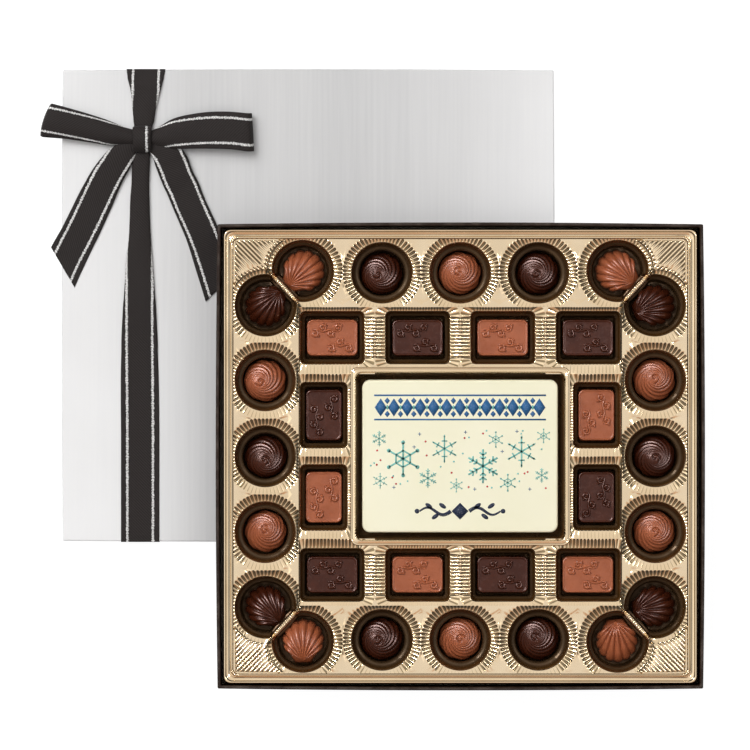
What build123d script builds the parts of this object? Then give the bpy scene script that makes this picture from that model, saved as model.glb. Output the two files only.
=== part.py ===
from build123d import *

import math
import os

# A chocolate box of the set-up kind, in millimetres, +Z up.
# The lid lies top up, with a ribbon and bow, and the open base lies level over one corner of it.
# The base holds a pressed foil insert with thirty-three chocolates in their pockets.

# Board, paper and ribbon
BOARD = 1.4
WRAP = 0.2
TURN_IN = 16.0
STAY = 0.15
STAY_ARM = 18.0
STAY_MARGIN = 2.0
MITRE = 10.0
RIBBON = 0.5

# Lid and base, over the paper and at the corners. Bow is how far a wall swells at mid-side.
LID_LENGTH = 269.4
LID_WIDTH = 258.2
LID_HEIGHT = 28.0
LID_BOW = 0.6
BASE_LENGTH = 264.0
BASE_WIDTH = 252.4
BASE_HEIGHT = 28.0
BASE_BOW = 1.0

# Where the base's centre lies from the lid's centre. It rests on the lid and on one ribbon tail.
BASE_SHIFT_X = 83.1
BASE_SHIFT_Y = -82.4
BASE_Z = LID_HEIGHT + RIBBON

# Pressed insert, with heights measured from its deck
SHEET = 0.5
DECK_HEIGHT = 24.2
INSERT_LENGTH = 258.3
INSERT_WIDTH = 247.7
INSERT_CORNER = 4.0
FIELD_X = 123.4
FIELD_Y = 118.3
RIDGE_HEIGHT = 0.8
OUTER_RIDGE = 1.9
INNER_RIDGE = 1.5
COLUMN_EDGE = 88.0
ROW_EDGE = 81.2

# Round pockets for the swirls
ROUND_RADIUS = 16.6
ROUND_DEPTH = 19.0
ROUND_DRAFT = 12.5
COLUMN_X = 106.2
COLUMN_PITCH = 41.3
ROW_Y = 99.9
ROW_PITCH = 42.6

# Double pockets for the shells, in the corners
SHELL_RADIUS = 16.8
SHELL_DEPTH = 17.0
SHELL_DRAFT = 10.7
SHELL_SIDE = (105.9, 82.2)
SHELL_END = (85.7, 100.9)
BRIDGE_DROP = 7.0
BRIDGE_WIDTH = 2.4

# Block pockets: two rows of four, and two at each side of the centre
BLOCK_POCKET = (35.2, 29.0)
SIDE_POCKET = (26.0, 36.0)
POCKET_CORNER = 3.0
BLOCK_DEPTH = 14.0
BLOCK_DRAFT = 9.5
BLOCK_ROW_Y = 64.6
BLOCK_INNER_X = 23.2
BLOCK_OUTER_X = 69.7
BLOCK_SPLIT_X = 46.45
SIDE_BLOCK_X = 74.3
SIDE_BLOCK_Y = 22.4
SIDE_EDGE = 44.8

# Centre well and its raised frame
FRAME_X = 59.9
FRAME_Y = 48.6
FRAME_WIDTH = 3.05
FRAME_RISE = 1.5
WELL_DEPTH = 11.0
WELL_DRAFT = 11.1
WELL_CORNER = 5.0

# Chocolates
SWIRL_RADIUS = 11.7
SWIRL_LOBES = 10
SWIRL_NOTCH = 0.88
SWIRL_LEVELS = ((0.0, 0.95, 0), (3.2, 1.0, 10), (8.0, 0.80, 34), (11.8, 0.50, 72), (13.4, 0.24, 105))
SWIRL_TIP = 2.4
SWIRL_HEIGHT = 14.5
BLOCK_SIZE = (28.5, 20.5, 8.5)
BLOCK_CORNER = 3.2
BLOCK_PANEL_CORNER = 2.2
BLOCK_TAPER = 3.4
BLOCK_RIM = 0.7
BLOCK_RECESS = 0.3
SHELL_LOBES = 9
SHELL_CREST = 1.08
SHELL_SWEEP = 128.0
SHELL_LENGTH = 24.0
# Each level of a shell: height, centre, radius, hinge distance and half the hinge's width
SHELL_LEVELS = (
    (0.0, 12.4, 10.7, 0.0, 4.4),
    (3.0, 12.2, 10.5, 0.2, 4.2),
    (7.0, 10.8, 8.6, 0.9, 3.4),
    (10.5, 8.4, 5.5, 2.2, 2.2),
    (12.0, 6.6, 2.3, 4.0, 1.2),
)
BAR_SIZE = (106.7, 83.3, 7.5)
BAR_CORNER = 4.4
BAR_SHIFT = 0.9
BAR_EDGE = 0.6

# Ribbon and bow on the lid, in plan from the lid's centre, and heights above the table
BAND_LEFT = (
    (-100.0, 134.0), (-100.0, 129.5), (-96.3, 112.8), (-94.8, 97.4), (-96.1, 85.3),
    (-96.7, 57.9), (-98.3, 30.5), (-100.5, 8.5), (-102.7, -68.3), (-102.7, -134.0),
)
BAND_RIGHT = (
    (-78.6, 134.0), (-78.6, 129.5), (-82.6, 112.8), (-84.7, 97.4), (-86.3, 85.3),
    (-87.4, 57.9), (-86.0, 30.5), (-84.3, 8.5), (-81.6, -68.3), (-81.6, -134.0),
)
BAND_FOOT = 0.3
KNOT_X = -90.8
KNOT_Y = 91.1
KNOT_SIZE = (8.8, 11.2, 7.0)
KNOT_ROUND = 2.2
LOOP_RISE = 7.6
LOOP_ROOT = 5.0
TAIL_ROOT = 3.0
TAIL_SLOPE = 14.0
LEFT_LOOP_END = ((-141.7, 110.9), (-147.6, 93.5))
LEFT_LOOP = (
    (-90.8, 94.5), (-99.4, 96.0), (-107.8, 101.1), (-114.6, 103.5), (-125.5, 107.4),
    LEFT_LOOP_END[0], LEFT_LOOP_END[1],
    (-139.0, 92.3), (-118.8, 88.6), (-107.8, 87.0), (-96.1, 87.5), (-90.8, 88.5),
)
RIGHT_LOOP_END = ((-30.8, 105.3), (-29.6, 84.4))
RIGHT_LOOP = (
    (-90.8, 94.5), (-84.3, 96.9), (-77.5, 99.0), (-69.9, 103.2), (-59.0, 105.1), (-48.9, 106.3),
    RIGHT_LOOP_END[0], RIGHT_LOOP_END[1],
    (-40.5, 86.0), (-59.0, 86.6), (-69.1, 86.0), (-80.9, 85.9), (-90.8, 88.5),
)
LEFT_TAIL = (
    (-90.8, 88.5), (-96.1, 87.0), (-108.3, 85.5), (-114.6, 81.0), (-119.7, 74.9), (-123.0, 69.1),
    (-128.9, 55.7), (-141.1, 31.9), (-127.9, 9.3), (-107.8, 51.4), (-100.2, 67.4), (-96.9, 79.2),
)
LEFT_TAIL_HEADING = -122.0
RIGHT_TAIL = (
    (-90.8, 88.5), (-84.9, 86.0), (-84.3, 84.3), (-83.0, 74.1), (-78.4, 64.1), (-69.9, 43.1),
    (-56.4, 1.9), (-39.7, 18.7), (-48.9, 46.8), (-57.3, 67.4), (-64.1, 81.7), (-65.8, 85.9),
)
RIGHT_TAIL_HEADING = -62.0

FAR = 400.0


def slab(z_low, z_high):
    """A wide level block between two heights."""
    return Pos(0, 0, (z_low + z_high) / 2) * Box(FAR, FAR, z_high - z_low)


def tray_block(size, inset, z_low, z_high):
    """The filled space inside a tray's walls, whose four sides swell outwards by the bow."""
    length, width, height, bow = size
    x = length / 2 - inset
    y = width / 2 - inset
    corners = ((-x, -y), (x, -y), (x, y), (-x, y))
    middles = ((0, -y - bow), (x + bow, 0), (0, y + bow), (-x - bow, 0))
    edges = [ThreePointArc(corners[side], middles[side], corners[(side + 1) % 4]) for side in range(4)]
    return Pos(0, 0, z_low) * extrude(Face(Wire(edges)), z_high - z_low)


def corner_stays(size):
    """Paper strips pressed round the four corners of the board, under the wrap."""
    length, width, height, bow = size
    low = STAY_MARGIN
    high = height - STAY_MARGIN
    ring = tray_block(size, WRAP, low, high) - tray_block(size, WRAP + STAY, low, high)
    strips = []
    for x in (-length / 2, length / 2):
        for y in (-width / 2, width / 2):
            strips.append(ring & (Pos(x, y, height / 2) * Box(2 * STAY_ARM, 2 * STAY_ARM, height)))
    return strips


def set_up_tray(size):
    """Board, stays and wrap of one tray, open upwards, with the outside of its panel at z = 0."""
    height = size[2]
    lining_low = height - TURN_IN
    envelope = tray_block(size, 0, 0, height)
    core = tray_block(size, WRAP, WRAP, height - WRAP)
    hollow = tray_block(size, WRAP + BOARD, WRAP + BOARD, height)
    lining = tray_block(size, WRAP + BOARD, lining_low, height)
    lining -= tray_block(size, 2 * WRAP + BOARD, lining_low, height)
    board = core - hollow
    wrap = (envelope - core - hollow) + lining
    stays = corner_stays(size)
    for strip in stays:
        board -= strip
    return board, stays, wrap


def wrap_panels(wrap, size):
    """The wrap cut at its creases: the top sheet and four sides, mitred at the corners."""
    length, width, height, bow = size
    panels = [wrap & slab(0, WRAP)]
    sides = wrap & slab(WRAP, height)
    for turn, run, across in ((0, length, width), (90, width, length)):
        outer = run / 2 + MITRE
        inner = run / 2 - MITRE
        edge = across / 2
        strip = Polygon(
            (-inner, edge - MITRE), (inner, edge - MITRE), (outer, edge + MITRE), (-outer, edge + MITRE),
            align=None,
        )
        for half_turn in (0, 180):
            panels.append(sides & (Rot(0, 0, turn + half_turn) * extrude(strip, height)))
    return panels


def turned_over(shape):
    """A tray piece turned upside down into the lid's place."""
    return Pos(0, 0, LID_HEIGHT) * Rot(180, 0, 0) * shape


def sunk(outline, depth, draft):
    """A tapered block from the deck down, as deep as depth."""
    return extrude(outline, amount=-depth, taper=draft)


def round_pocket(x, y, radius, depth, draft):
    """The space in a round pocket, and the same with the sheet round it."""
    space = Pos(x, y) * sunk(Circle(radius), depth, draft)
    skin = Pos(x, y) * sunk(Circle(radius + SHEET), depth + SHEET, draft)
    return space, skin


def block_pocket(x, y, size):
    """The space in a block pocket, and the same with the sheet round it."""
    length, width = size
    grown = RectangleRounded(length + 2 * SHEET, width + 2 * SHEET, POCKET_CORNER + SHEET)
    space = Pos(x, y) * sunk(RectangleRounded(length, width, POCKET_CORNER), BLOCK_DEPTH, BLOCK_DRAFT)
    skin = Pos(x, y) * sunk(grown, BLOCK_DEPTH + SHEET, BLOCK_DRAFT)
    return space, skin


def deck(x_near, x_far, y_near, y_far):
    """A level rectangle of sheet between two pairs of edges, its upper face at the deck."""
    middle = Pos((x_near + x_far) / 2, (y_near + y_far) / 2, -SHEET / 2)
    return middle * Box(abs(x_far - x_near), abs(y_far - y_near), SHEET)


def insert_rim():
    """Skirt and stepped border of the insert: outer ridge, groove and inner ridge."""
    skirt_depth = DECK_HEIGHT - WRAP - BOARD
    outline = RectangleRounded(INSERT_LENGTH, INSERT_WIDTH, INSERT_CORNER)
    inside = offset(outline, -SHEET)
    ridge_inside = offset(outline, -OUTER_RIDGE)
    field = Rectangle(2 * FIELD_X, 2 * FIELD_Y)
    inner_ridge = Rectangle(2 * (FIELD_X + INNER_RIDGE), 2 * (FIELD_Y + INNER_RIDGE))
    skirt = Pos(0, 0, -skirt_depth) * extrude(outline - inside, skirt_depth)
    border = Pos(0, 0, -SHEET) * extrude(outline - field, SHEET)
    outer_bead = extrude(outline - ridge_inside, RIDGE_HEIGHT)
    inner_bead = extrude(inner_ridge - field, RIDGE_HEIGHT)
    return skirt + border + outer_bead + inner_bead


def round_tiles():
    """Twelve tiles of sheet, each with a round pocket, and the pockets' places."""
    tiles = []
    places = []
    for step in (-1, 0, 1):
        for side in (-1, 1):
            x = side * COLUMN_X
            y = step * COLUMN_PITCH
            half = COLUMN_PITCH / 2
            sheet = deck(side * COLUMN_EDGE, side * FIELD_X, y - half, y + half)
            space, skin = round_pocket(x, y, ROUND_RADIUS, ROUND_DEPTH, ROUND_DRAFT)
            tiles.append(sheet + skin - space)
            places.append((x, y))
            x = step * ROW_PITCH
            y = side * ROW_Y
            half = ROW_PITCH / 2
            sheet = deck(x - half, x + half, side * ROW_EDGE, side * FIELD_Y)
            space, skin = round_pocket(x, y, ROUND_RADIUS, ROUND_DEPTH, ROUND_DRAFT)
            tiles.append(sheet + skin - space)
            places.append((x, y))
    return tiles, places


def shell_tile(side_x, side_y):
    """One corner tile: two round pockets that run together, with a low bridge between them."""
    near_x = side_x * COLUMN_EDGE
    far_x = side_x * FIELD_X
    near_y = side_y * ROW_EDGE
    far_y = side_y * FIELD_Y
    sheet = deck(side_x * 1.5 * ROW_PITCH, far_x, near_y, far_y)
    sheet += deck(near_x, far_x, side_y * 1.5 * COLUMN_PITCH, near_y)
    first_x = side_x * SHELL_SIDE[0]
    first_y = side_y * SHELL_SIDE[1]
    second_x = side_x * SHELL_END[0]
    second_y = side_y * SHELL_END[1]
    first_space, first_skin = round_pocket(first_x, first_y, SHELL_RADIUS, SHELL_DEPTH, SHELL_DRAFT)
    second_space, second_skin = round_pocket(second_x, second_y, SHELL_RADIUS, SHELL_DEPTH, SHELL_DRAFT)
    turn = math.degrees(math.atan2(second_y - first_y, second_x - first_x))
    middle = Pos((first_x + second_x) / 2, (first_y + second_y) / 2) * Rot(0, 0, turn)
    rise = SHELL_DEPTH - BRIDGE_DROP
    bridge = middle * Pos(0, 0, rise / 2 - SHELL_DEPTH) * Box(BRIDGE_WIDTH, 2 * SHELL_RADIUS, rise)
    below = Box(BRIDGE_WIDTH - 2 * SHEET, SHELL_RADIUS, rise)
    below = middle * Pos(0, 0, rise / 2 - SHELL_DEPTH - SHEET) * below
    space = first_space + second_space - bridge
    return sheet + first_skin + second_skin - space - below


def block_tiles():
    """Twelve tiles of sheet, each with a block pocket, and the pockets' places."""
    tiles = []
    row_places = []
    side_places = []
    for side_x in (-1, 1):
        split_x = side_x * BLOCK_SPLIT_X
        edge_x = side_x * COLUMN_EDGE
        frame_x = side_x * FRAME_X
        for side_y in (-1, 1):
            frame_y = side_y * FRAME_Y
            row_y = side_y * ROW_EDGE
            side_y_edge = side_y * SIDE_EDGE
            row_places.append((side_x * BLOCK_INNER_X, side_y * BLOCK_ROW_Y))
            space, skin = block_pocket(*row_places[-1], BLOCK_POCKET)
            tiles.append(deck(0, split_x, frame_y, row_y) + skin - space)
            row_places.append((side_x * BLOCK_OUTER_X, side_y * BLOCK_ROW_Y))
            space, skin = block_pocket(*row_places[-1], BLOCK_POCKET)
            sheet = deck(split_x, edge_x, frame_y, row_y) + deck(frame_x, edge_x, side_y_edge, frame_y)
            tiles.append(sheet + skin - space)
            side_places.append((side_x * SIDE_BLOCK_X, side_y * SIDE_BLOCK_Y))
            space, skin = block_pocket(*side_places[-1], SIDE_POCKET)
            tiles.append(deck(frame_x, edge_x, 0, side_y_edge) + skin - space)
    return tiles, row_places, side_places


def centre_well():
    """Raised frame and well for the large centre bar."""
    inner_x = 2 * (FRAME_X - FRAME_WIDTH)
    inner_y = 2 * (FRAME_Y - FRAME_WIDTH)
    mouth = RectangleRounded(inner_x, inner_y, WELL_CORNER)
    grown = RectangleRounded(inner_x + 2 * SHEET, inner_y + 2 * SHEET, WELL_CORNER + SHEET)
    space = Pos(0, 0, FRAME_RISE) * sunk(mouth, WELL_DEPTH, WELL_DRAFT)
    skin = Pos(0, 0, FRAME_RISE) * sunk(grown, WELL_DEPTH + SHEET, WELL_DRAFT)
    frame_height = FRAME_RISE + SHEET
    frame = Pos(0, 0, FRAME_RISE - frame_height / 2) * Box(2 * FRAME_X, 2 * FRAME_Y, frame_height)
    gap = Pos(0, 0, -SHEET) * Box(2 * (FRAME_X - SHEET), 2 * (FRAME_Y - SHEET), 2 * FRAME_RISE)
    return frame - gap + skin - space


def swirl():
    """A piped rosette: lobed rings that turn as they rise, with a rounded tip."""
    sections = []
    step = 360 / SWIRL_LOBES
    for z, share, turn in SWIRL_LEVELS:
        crest = SWIRL_RADIUS * share
        notch = crest * SWIRL_NOTCH
        edges = []
        for lobe in range(SWIRL_LOBES):
            angles = [-(turn + step * (lobe + part)) for part in (0, 0.5, 1)]
            start, top, end = [
                (radius * math.cos(math.radians(angle)), radius * math.sin(math.radians(angle)), z)
                for radius, angle in zip((notch, crest, notch), angles)
            ]
            edges.append(ThreePointArc(start, top, end))
        sections.append(Face(Wire(edges)))
    tip = Pos(0, 0, SWIRL_HEIGHT - SWIRL_TIP) * Sphere(SWIRL_TIP)
    return loft(sections) + tip


def chocolate_block():
    """A moulded block with a thin raised edge round its top."""
    length, width, height = BLOCK_SIZE
    body = extrude(RectangleRounded(length, width, BLOCK_CORNER), height, taper=BLOCK_TAPER)
    shrink = 2 * height * math.tan(math.radians(BLOCK_TAPER)) + 2 * BLOCK_RIM
    panel = RectangleRounded(length - shrink, width - shrink, BLOCK_PANEL_CORNER)
    return body - Pos(0, 0, height - BLOCK_RECESS) * extrude(panel, height)


def shell_section(z, centre, radius, hinge, half_width):
    """One level of a shell: lobes round the fan, and two straight sides to the hinge."""
    step = 2 * SHELL_SWEEP / SHELL_LOBES
    crest = radius * SHELL_CREST
    rim = []
    for half_step in range(2 * SHELL_LOBES + 1):
        angle = math.radians(-SHELL_SWEEP + step * half_step / 2)
        reach = crest if half_step % 2 else radius
        rim.append((centre + reach * math.cos(angle), reach * math.sin(angle), z))
    edges = []
    for lobe in range(SHELL_LOBES):
        edges.append(ThreePointArc(rim[2 * lobe], rim[2 * lobe + 1], rim[2 * lobe + 2]))
    upper = (hinge, half_width, z)
    lower = (hinge, -half_width, z)
    edges.append(Line(rim[-1], upper))
    edges.append(Line(upper, lower))
    edges.append(Line(lower, rim[0]))
    return Face(Wire(edges))


def chocolate_shell():
    """A scallop that opens along +X from its hinge, set about its own middle."""
    sections = [shell_section(*level) for level in SHELL_LEVELS]
    return Pos(-SHELL_LENGTH / 2, 0, 0) * loft(sections)


def centre_bar():
    """The large flat bar in the middle of the box."""
    length, width, height = BAR_SIZE
    bar = extrude(RectangleRounded(length, width, BAR_CORNER), height)
    return chamfer(bar.faces().sort_by(Axis.Z)[-1].edges(), BAR_EDGE)


def plan_prism(points):
    """A tall prism over a plan outline."""
    return extrude(make_face(Polyline(*points, close=True)), FAR / 4)


def ribbon_band(lid_size):
    """The band over the lid and down two of its sides."""
    length, width, height, bow = lid_size
    sides = tray_block(lid_size, -RIBBON, 0, height - BAND_FOOT) - tray_block(lid_size, 0, 0, height)
    top = Pos(0, 0, -RIBBON / 2) * Box(length + 2 * RIBBON, width + 2 * RIBBON, RIBBON)
    outline = list(BAND_LEFT) + list(reversed(BAND_RIGHT))
    return turned_over(sides + top) & plan_prism(outline)


def bow_knot():
    """The tight wrap at the middle of the bow, on the band."""
    length, width, height = KNOT_SIZE
    knot = extrude(RectangleRounded(length, width, KNOT_ROUND), height)
    knot = fillet(knot.faces().sort_by(Axis.Z)[-1].edges(), KNOT_ROUND)
    return Pos(KNOT_X, KNOT_Y, LID_HEIGHT + RIBBON) * knot


def bent_strip(side_view, heading):
    """A strip whose side view runs away from the knot along heading."""
    strip = extrude(Plane.XZ * side_view, amount=FAR / 8, both=True)
    return Pos(KNOT_X, KNOT_Y, 0) * Rot(0, 0, heading) * strip


def bow_loop(outline, fold):
    """A flattened loop: out from the knot, round the fold and back over itself."""
    (x_far, y_far), (x_near, y_near) = fold
    along_x = x_near - x_far
    along_y = y_near - y_far
    length = math.hypot(along_x, along_y)
    normal_x = -along_y / length
    normal_y = along_x / length
    reach = (x_far - KNOT_X) * normal_x + (y_far - KNOT_Y) * normal_y
    if reach < 0:
        normal_x, normal_y, reach = -normal_x, -normal_y, -reach
    heading = math.degrees(math.atan2(normal_y, normal_x))
    low = LID_HEIGHT + RIBBON
    radius = LOOP_RISE / 2
    bend = reach - radius
    runs = [
        Line((0, low), (bend, low)),
        ThreePointArc((bend, low), (reach, low + radius), (bend, low + LOOP_RISE)),
        Line((bend, low + LOOP_RISE), (0, low + LOOP_ROOT)),
        Line((0, low + LOOP_ROOT), (0, low)),
    ]
    side_view = make_face(Wire(runs))
    side_view = side_view - offset(side_view, -RIBBON)
    return bent_strip(side_view, heading) & plan_prism(outline)


def bow_tail(outline, heading):
    """A tail that drops from the knot and lies flat on the lid, with a slanted cut end."""
    low = LID_HEIGHT
    top = LID_HEIGHT + RIBBON
    reach = FAR / 2
    side_view = Polygon(
        (0, low + TAIL_ROOT), (TAIL_SLOPE, low), (reach, low),
        (reach, top), (TAIL_SLOPE, top), (0, top + TAIL_ROOT),
        align=None,
    )
    return bent_strip(side_view, heading) & plan_prism(outline)


def lid_nodes():
    """Everything that belongs to the lid, with the lid's centre over the origin."""
    size = (LID_LENGTH, LID_WIDTH, LID_HEIGHT, LID_BOW)
    board, stays, wrap = set_up_tray(size)
    knot = bow_knot()
    band = ribbon_band(size)
    left_loop = bow_loop(LEFT_LOOP, LEFT_LOOP_END) - knot
    right_loop = bow_loop(RIGHT_LOOP, RIGHT_LOOP_END) - knot
    nodes = {
        "lid_board": turned_over(board),
        "lid_corner_stays": turned_over(Compound(children=stays)),
        "lid_wrap": turned_over(Compound(children=wrap_panels(wrap, size))),
        "ribbon_band": band,
        "bow_knot": knot,
        "bow_loop_left": left_loop,
        "bow_loop_right": right_loop,
        "bow_tail_left": bow_tail(LEFT_TAIL, LEFT_TAIL_HEADING) - knot - left_loop - right_loop - band,
        "bow_tail_right": bow_tail(RIGHT_TAIL, RIGHT_TAIL_HEADING) - knot - left_loop - right_loop - band,
    }
    return nodes


def base_nodes():
    """The base tray, with its own centre over the origin and its underside at z = 0."""
    size = (BASE_LENGTH, BASE_WIDTH, BASE_HEIGHT, BASE_BOW)
    board, stays, wrap = set_up_tray(size)
    return {
        "base_board": board,
        "base_corner_stays": Compound(children=stays),
        "base_wrap": wrap,
    }


def insert_nodes():
    """The pressed insert and the chocolates in it, with the deck at z = 0."""
    rounds, round_places = round_tiles()
    blocks, row_places, side_places = block_tiles()
    shells = [shell_tile(side_x, side_y) for side_x in (-1, 1) for side_y in (-1, 1)]
    nodes = {
        "insert_rim": insert_rim(),
        "insert_round_pockets": Compound(children=rounds),
        "insert_block_pockets": Compound(children=blocks),
        "insert_shell_pockets": Compound(children=shells),
        "insert_centre_well": centre_well(),
    }
    swirl_shape = swirl()
    for number, (x, y) in enumerate(reading_order(round_places), 1):
        nodes[f"swirl_{number:02d}"] = Pos(x, y, -ROUND_DEPTH) * swirl_shape
    block_shape = chocolate_block()
    for number, (x, y) in enumerate(reading_order(row_places + side_places), 1):
        turn = 90 if (x, y) in side_places else 0
        nodes[f"block_{number:02d}"] = Pos(x, y, -BLOCK_DEPTH) * Rot(0, 0, turn) * block_shape
    shell_shape = chocolate_shell()
    for number, (x, y, turn) in enumerate(SHELL_PLACES, 1):
        nodes[f"shell_{number:02d}"] = Pos(x, y, -SHELL_DEPTH) * Rot(0, 0, turn) * shell_shape
    bar_z = FRAME_RISE - WELL_DEPTH
    nodes["centre_bar"] = Pos(-BAR_SHIFT, BAR_SHIFT, bar_z) * centre_bar()
    return nodes


def reading_order(places):
    """Places from the top row to the bottom row, and from left to right in each row."""
    return sorted(places, key=lambda place: (-round(place[1]), place[0]))


# Shells in their corner pockets: x, y and the way that each fan opens, in degrees from +X
SIDE_X, SIDE_Y = SHELL_SIDE
END_X, END_Y = SHELL_END
SHELL_PLACES = (
    (-END_X, END_Y, 45),
    (END_X, END_Y, 145),
    (-SIDE_X, SIDE_Y, 225),
    (SIDE_X, SIDE_Y, 20),
    (-SIDE_X, -SIDE_Y, 135),
    (SIDE_X, -SIDE_Y, 10),
    (-END_X, -END_Y, 90),
    (END_X, -END_Y, -85),
)


def main():
    nodes = lid_nodes()
    base_place = Pos(BASE_SHIFT_X, BASE_SHIFT_Y, BASE_Z)
    insert_place = base_place * Pos(0, 0, DECK_HEIGHT)
    for name, shape in base_nodes().items():
        nodes[name] = base_place * shape
    for name, shape in insert_nodes().items():
        nodes[name] = insert_place * shape

    # The origin is under the middle of the whole arrangement, on the table
    lows = []
    highs = []
    for shape in nodes.values():
        box = shape.bounding_box()
        lows.append((box.min.X, box.min.Y))
        highs.append((box.max.X, box.max.Y))
    middle_x = (min(low[0] for low in lows) + max(high[0] for high in highs)) / 2
    middle_y = (min(low[1] for low in lows) + max(high[1] for high in highs)) / 2
    print(f"lid centre at {-middle_x:.3f}, {-middle_y:.3f}")

    os.makedirs("parts", exist_ok=True)
    for name, shape in nodes.items():
        export_step(Pos(-middle_x, -middle_y, 0) * shape, f"parts/{name}.step")


main()
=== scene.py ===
import math
import random
from collections import defaultdict, namedtuple
from functools import partial

import bmesh
import bpy
from mathutils import Matrix, Vector


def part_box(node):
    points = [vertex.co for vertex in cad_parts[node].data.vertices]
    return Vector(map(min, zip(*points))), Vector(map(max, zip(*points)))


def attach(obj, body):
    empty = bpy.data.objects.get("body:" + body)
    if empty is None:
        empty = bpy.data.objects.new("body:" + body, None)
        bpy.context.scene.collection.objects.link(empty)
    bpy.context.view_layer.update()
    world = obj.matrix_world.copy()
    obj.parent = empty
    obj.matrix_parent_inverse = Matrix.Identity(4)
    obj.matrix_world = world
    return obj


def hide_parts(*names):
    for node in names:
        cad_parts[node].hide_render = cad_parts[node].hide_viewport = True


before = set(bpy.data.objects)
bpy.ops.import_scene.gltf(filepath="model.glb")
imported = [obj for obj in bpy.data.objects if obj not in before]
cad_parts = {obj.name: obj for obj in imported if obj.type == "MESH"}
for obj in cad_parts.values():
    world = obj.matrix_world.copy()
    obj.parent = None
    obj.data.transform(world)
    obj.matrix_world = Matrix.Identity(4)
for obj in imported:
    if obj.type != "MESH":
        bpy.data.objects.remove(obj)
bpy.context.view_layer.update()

# The four corners of a plan, by the side that each is on
CORNERS = ((-1, -1), (-1, 1), (1, -1), (1, 1))

# The object's own measures, in millimetres
MM = 0.001
PAPER = 0.18
WALL = 1.8
TURN_IN = 16.0
BOARD_WALL = 1.4
PAPER_LAYER = 0.2
TRAY_EDGE = 0.75
BOARD_EDGE = 0.5
# Length, width, height and how far the sides bow outwards
LID_SIZE = (269.4, 258.2, 28.0, 0.6)
BASE_SIZE = (264.0, 252.4, 28.0, 1.0)
DECK_ABOVE_BASE = 24.2

# The pressed insert, from its middle: the field of pockets, its edges, and the pockets' places and sizes
FOIL = 0.28
FIELD_X = 123.4
FIELD_Y = 118.3
INSERT_HALF_X = 129.15
INSERT_HALF_Y = 123.85
SKIRT = 22.4
COLUMN_EDGE = 88.0
ROW_EDGE = 81.2
COLUMN_X = 106.2
COLUMN_PITCH = 41.3
ROW_Y = 99.9
ROW_PITCH = 42.6
ROUND_RADIUS = 16.6
ROUND_DEPTH = 19.0
SHELL_RADIUS = 16.8
SHELL_DEPTH = 17.0
SHELL_SIDE = (105.9, 82.2)
SHELL_END = (85.7, 100.9)
BRIDGE_DROP = 7.0
BRIDGE_HALF = 1.2
BLOCK_POCKET = (35.2, 29.0)
SIDE_POCKET = (26.0, 36.0)
POCKET_CORNER = 3.0
BLOCK_DEPTH = 14.0
BLOCK_SPLIT_X = 46.45
SIDE_EDGE = 44.8
# The middle and the size of a quarter's three block pockets: two of the row, and one of the side
BLOCK_POCKETS = (((23.2, 64.6), BLOCK_POCKET), ((69.7, 64.6), BLOCK_POCKET), ((74.3, 22.4), SIDE_POCKET))
FRAME_X = 59.9
FRAME_Y = 48.6
WELL_FLOOR = -9.5

RIBBON_WIDTH = 21.0
RIBBON_THICK = 0.4


def middle_of(node):
    """The middle of a CAD node's box, in metres."""
    low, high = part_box(node)
    return (low + high) / 2


LID_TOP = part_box("lid_wrap")[1].z / MM
LID_CENTRE = middle_of("lid_board")
BASE_CENTRE = middle_of("base_board")
BASE_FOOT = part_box("base_wrap")[0].z
LID_ORIGIN = Vector((LID_CENTRE.x, LID_CENTRE.y, 0))
BASE_ORIGIN = Vector((BASE_CENTRE.x, BASE_CENTRE.y, BASE_FOOT))
DECK_ORIGIN = BASE_ORIGIN + Vector((0, 0, DECK_ABOVE_BASE * MM))


# Shapes

def smooth_step(value):
    """0 to 1 with soft ends."""
    value = min(1.0, max(0.0, value))
    return value * value * (3 - 2 * value)


def blend_rows(rows, share):
    """A smooth curve through rows of numbers, read at a share of the way from the first to the last."""
    spot = share * (len(rows) - 1)
    start = min(int(spot), len(rows) - 2)
    part = spot - start
    before = rows[max(start - 1, 0)]
    first = rows[start]
    second = rows[start + 1]
    after = rows[min(start + 2, len(rows) - 1)]
    mixed = []
    for a, b, c, d in zip(before, first, second, after):
        slope_b = (c - a) / 2
        slope_c = (d - b) / 2
        square = part * part
        cube = square * part
        mixed.append(
            b * (2 * cube - 3 * square + 1) + slope_b * (cube - 2 * square + part)
            + c * (3 * square - 2 * cube) + slope_c * (cube - square)
        )
    return mixed


def formed_grid(columns, rows, place, fold=None):
    """A grid of faces whose points are put in place by place(column, row), in millimetres.

    Fold gives how deep in a groove each point lies, from 0 to 1, for its material to paint shade there.
    """
    bm = bmesh.new()
    bmesh.ops.create_grid(bm, x_segments=columns, y_segments=rows, size=0.5)
    layer = bm.verts.layers.float.new("fold") if fold else None
    for vert in bm.verts:
        column = round((vert.co.x + 0.5) * columns)
        row = round((vert.co.y + 0.5) * rows)
        vert.co = place(column, row)
        if fold:
            vert[layer] = fold(column, row)
    bmesh.ops.remove_doubles(bm, verts=bm.verts, dist=0.002)
    return bm


def gather(target, part):
    """One more part's faces in target."""
    mesh = bpy.data.meshes.new("part")
    part.to_mesh(mesh)
    part.free()
    target.from_mesh(mesh)
    bpy.data.meshes.remove(mesh)


def finished(name, bm, origin, material, body, nodes, slot):
    """A finished piece: in metres, at its place, with its material, on its body."""
    bmesh.ops.transform(bm, matrix=Matrix.Translation(origin) @ Matrix.Scale(MM, 4), verts=bm.verts)
    mesh = bpy.data.meshes.new(name)
    bm.to_mesh(mesh)
    bm.free()
    mesh.polygons.foreach_set("use_smooth", [True] * len(mesh.polygons))
    mesh.materials.append(material)
    piece = bpy.data.objects.new(name, mesh)
    bpy.context.scene.collection.objects.link(piece)
    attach(piece, body)
    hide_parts(*nodes)
    return piece


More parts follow.
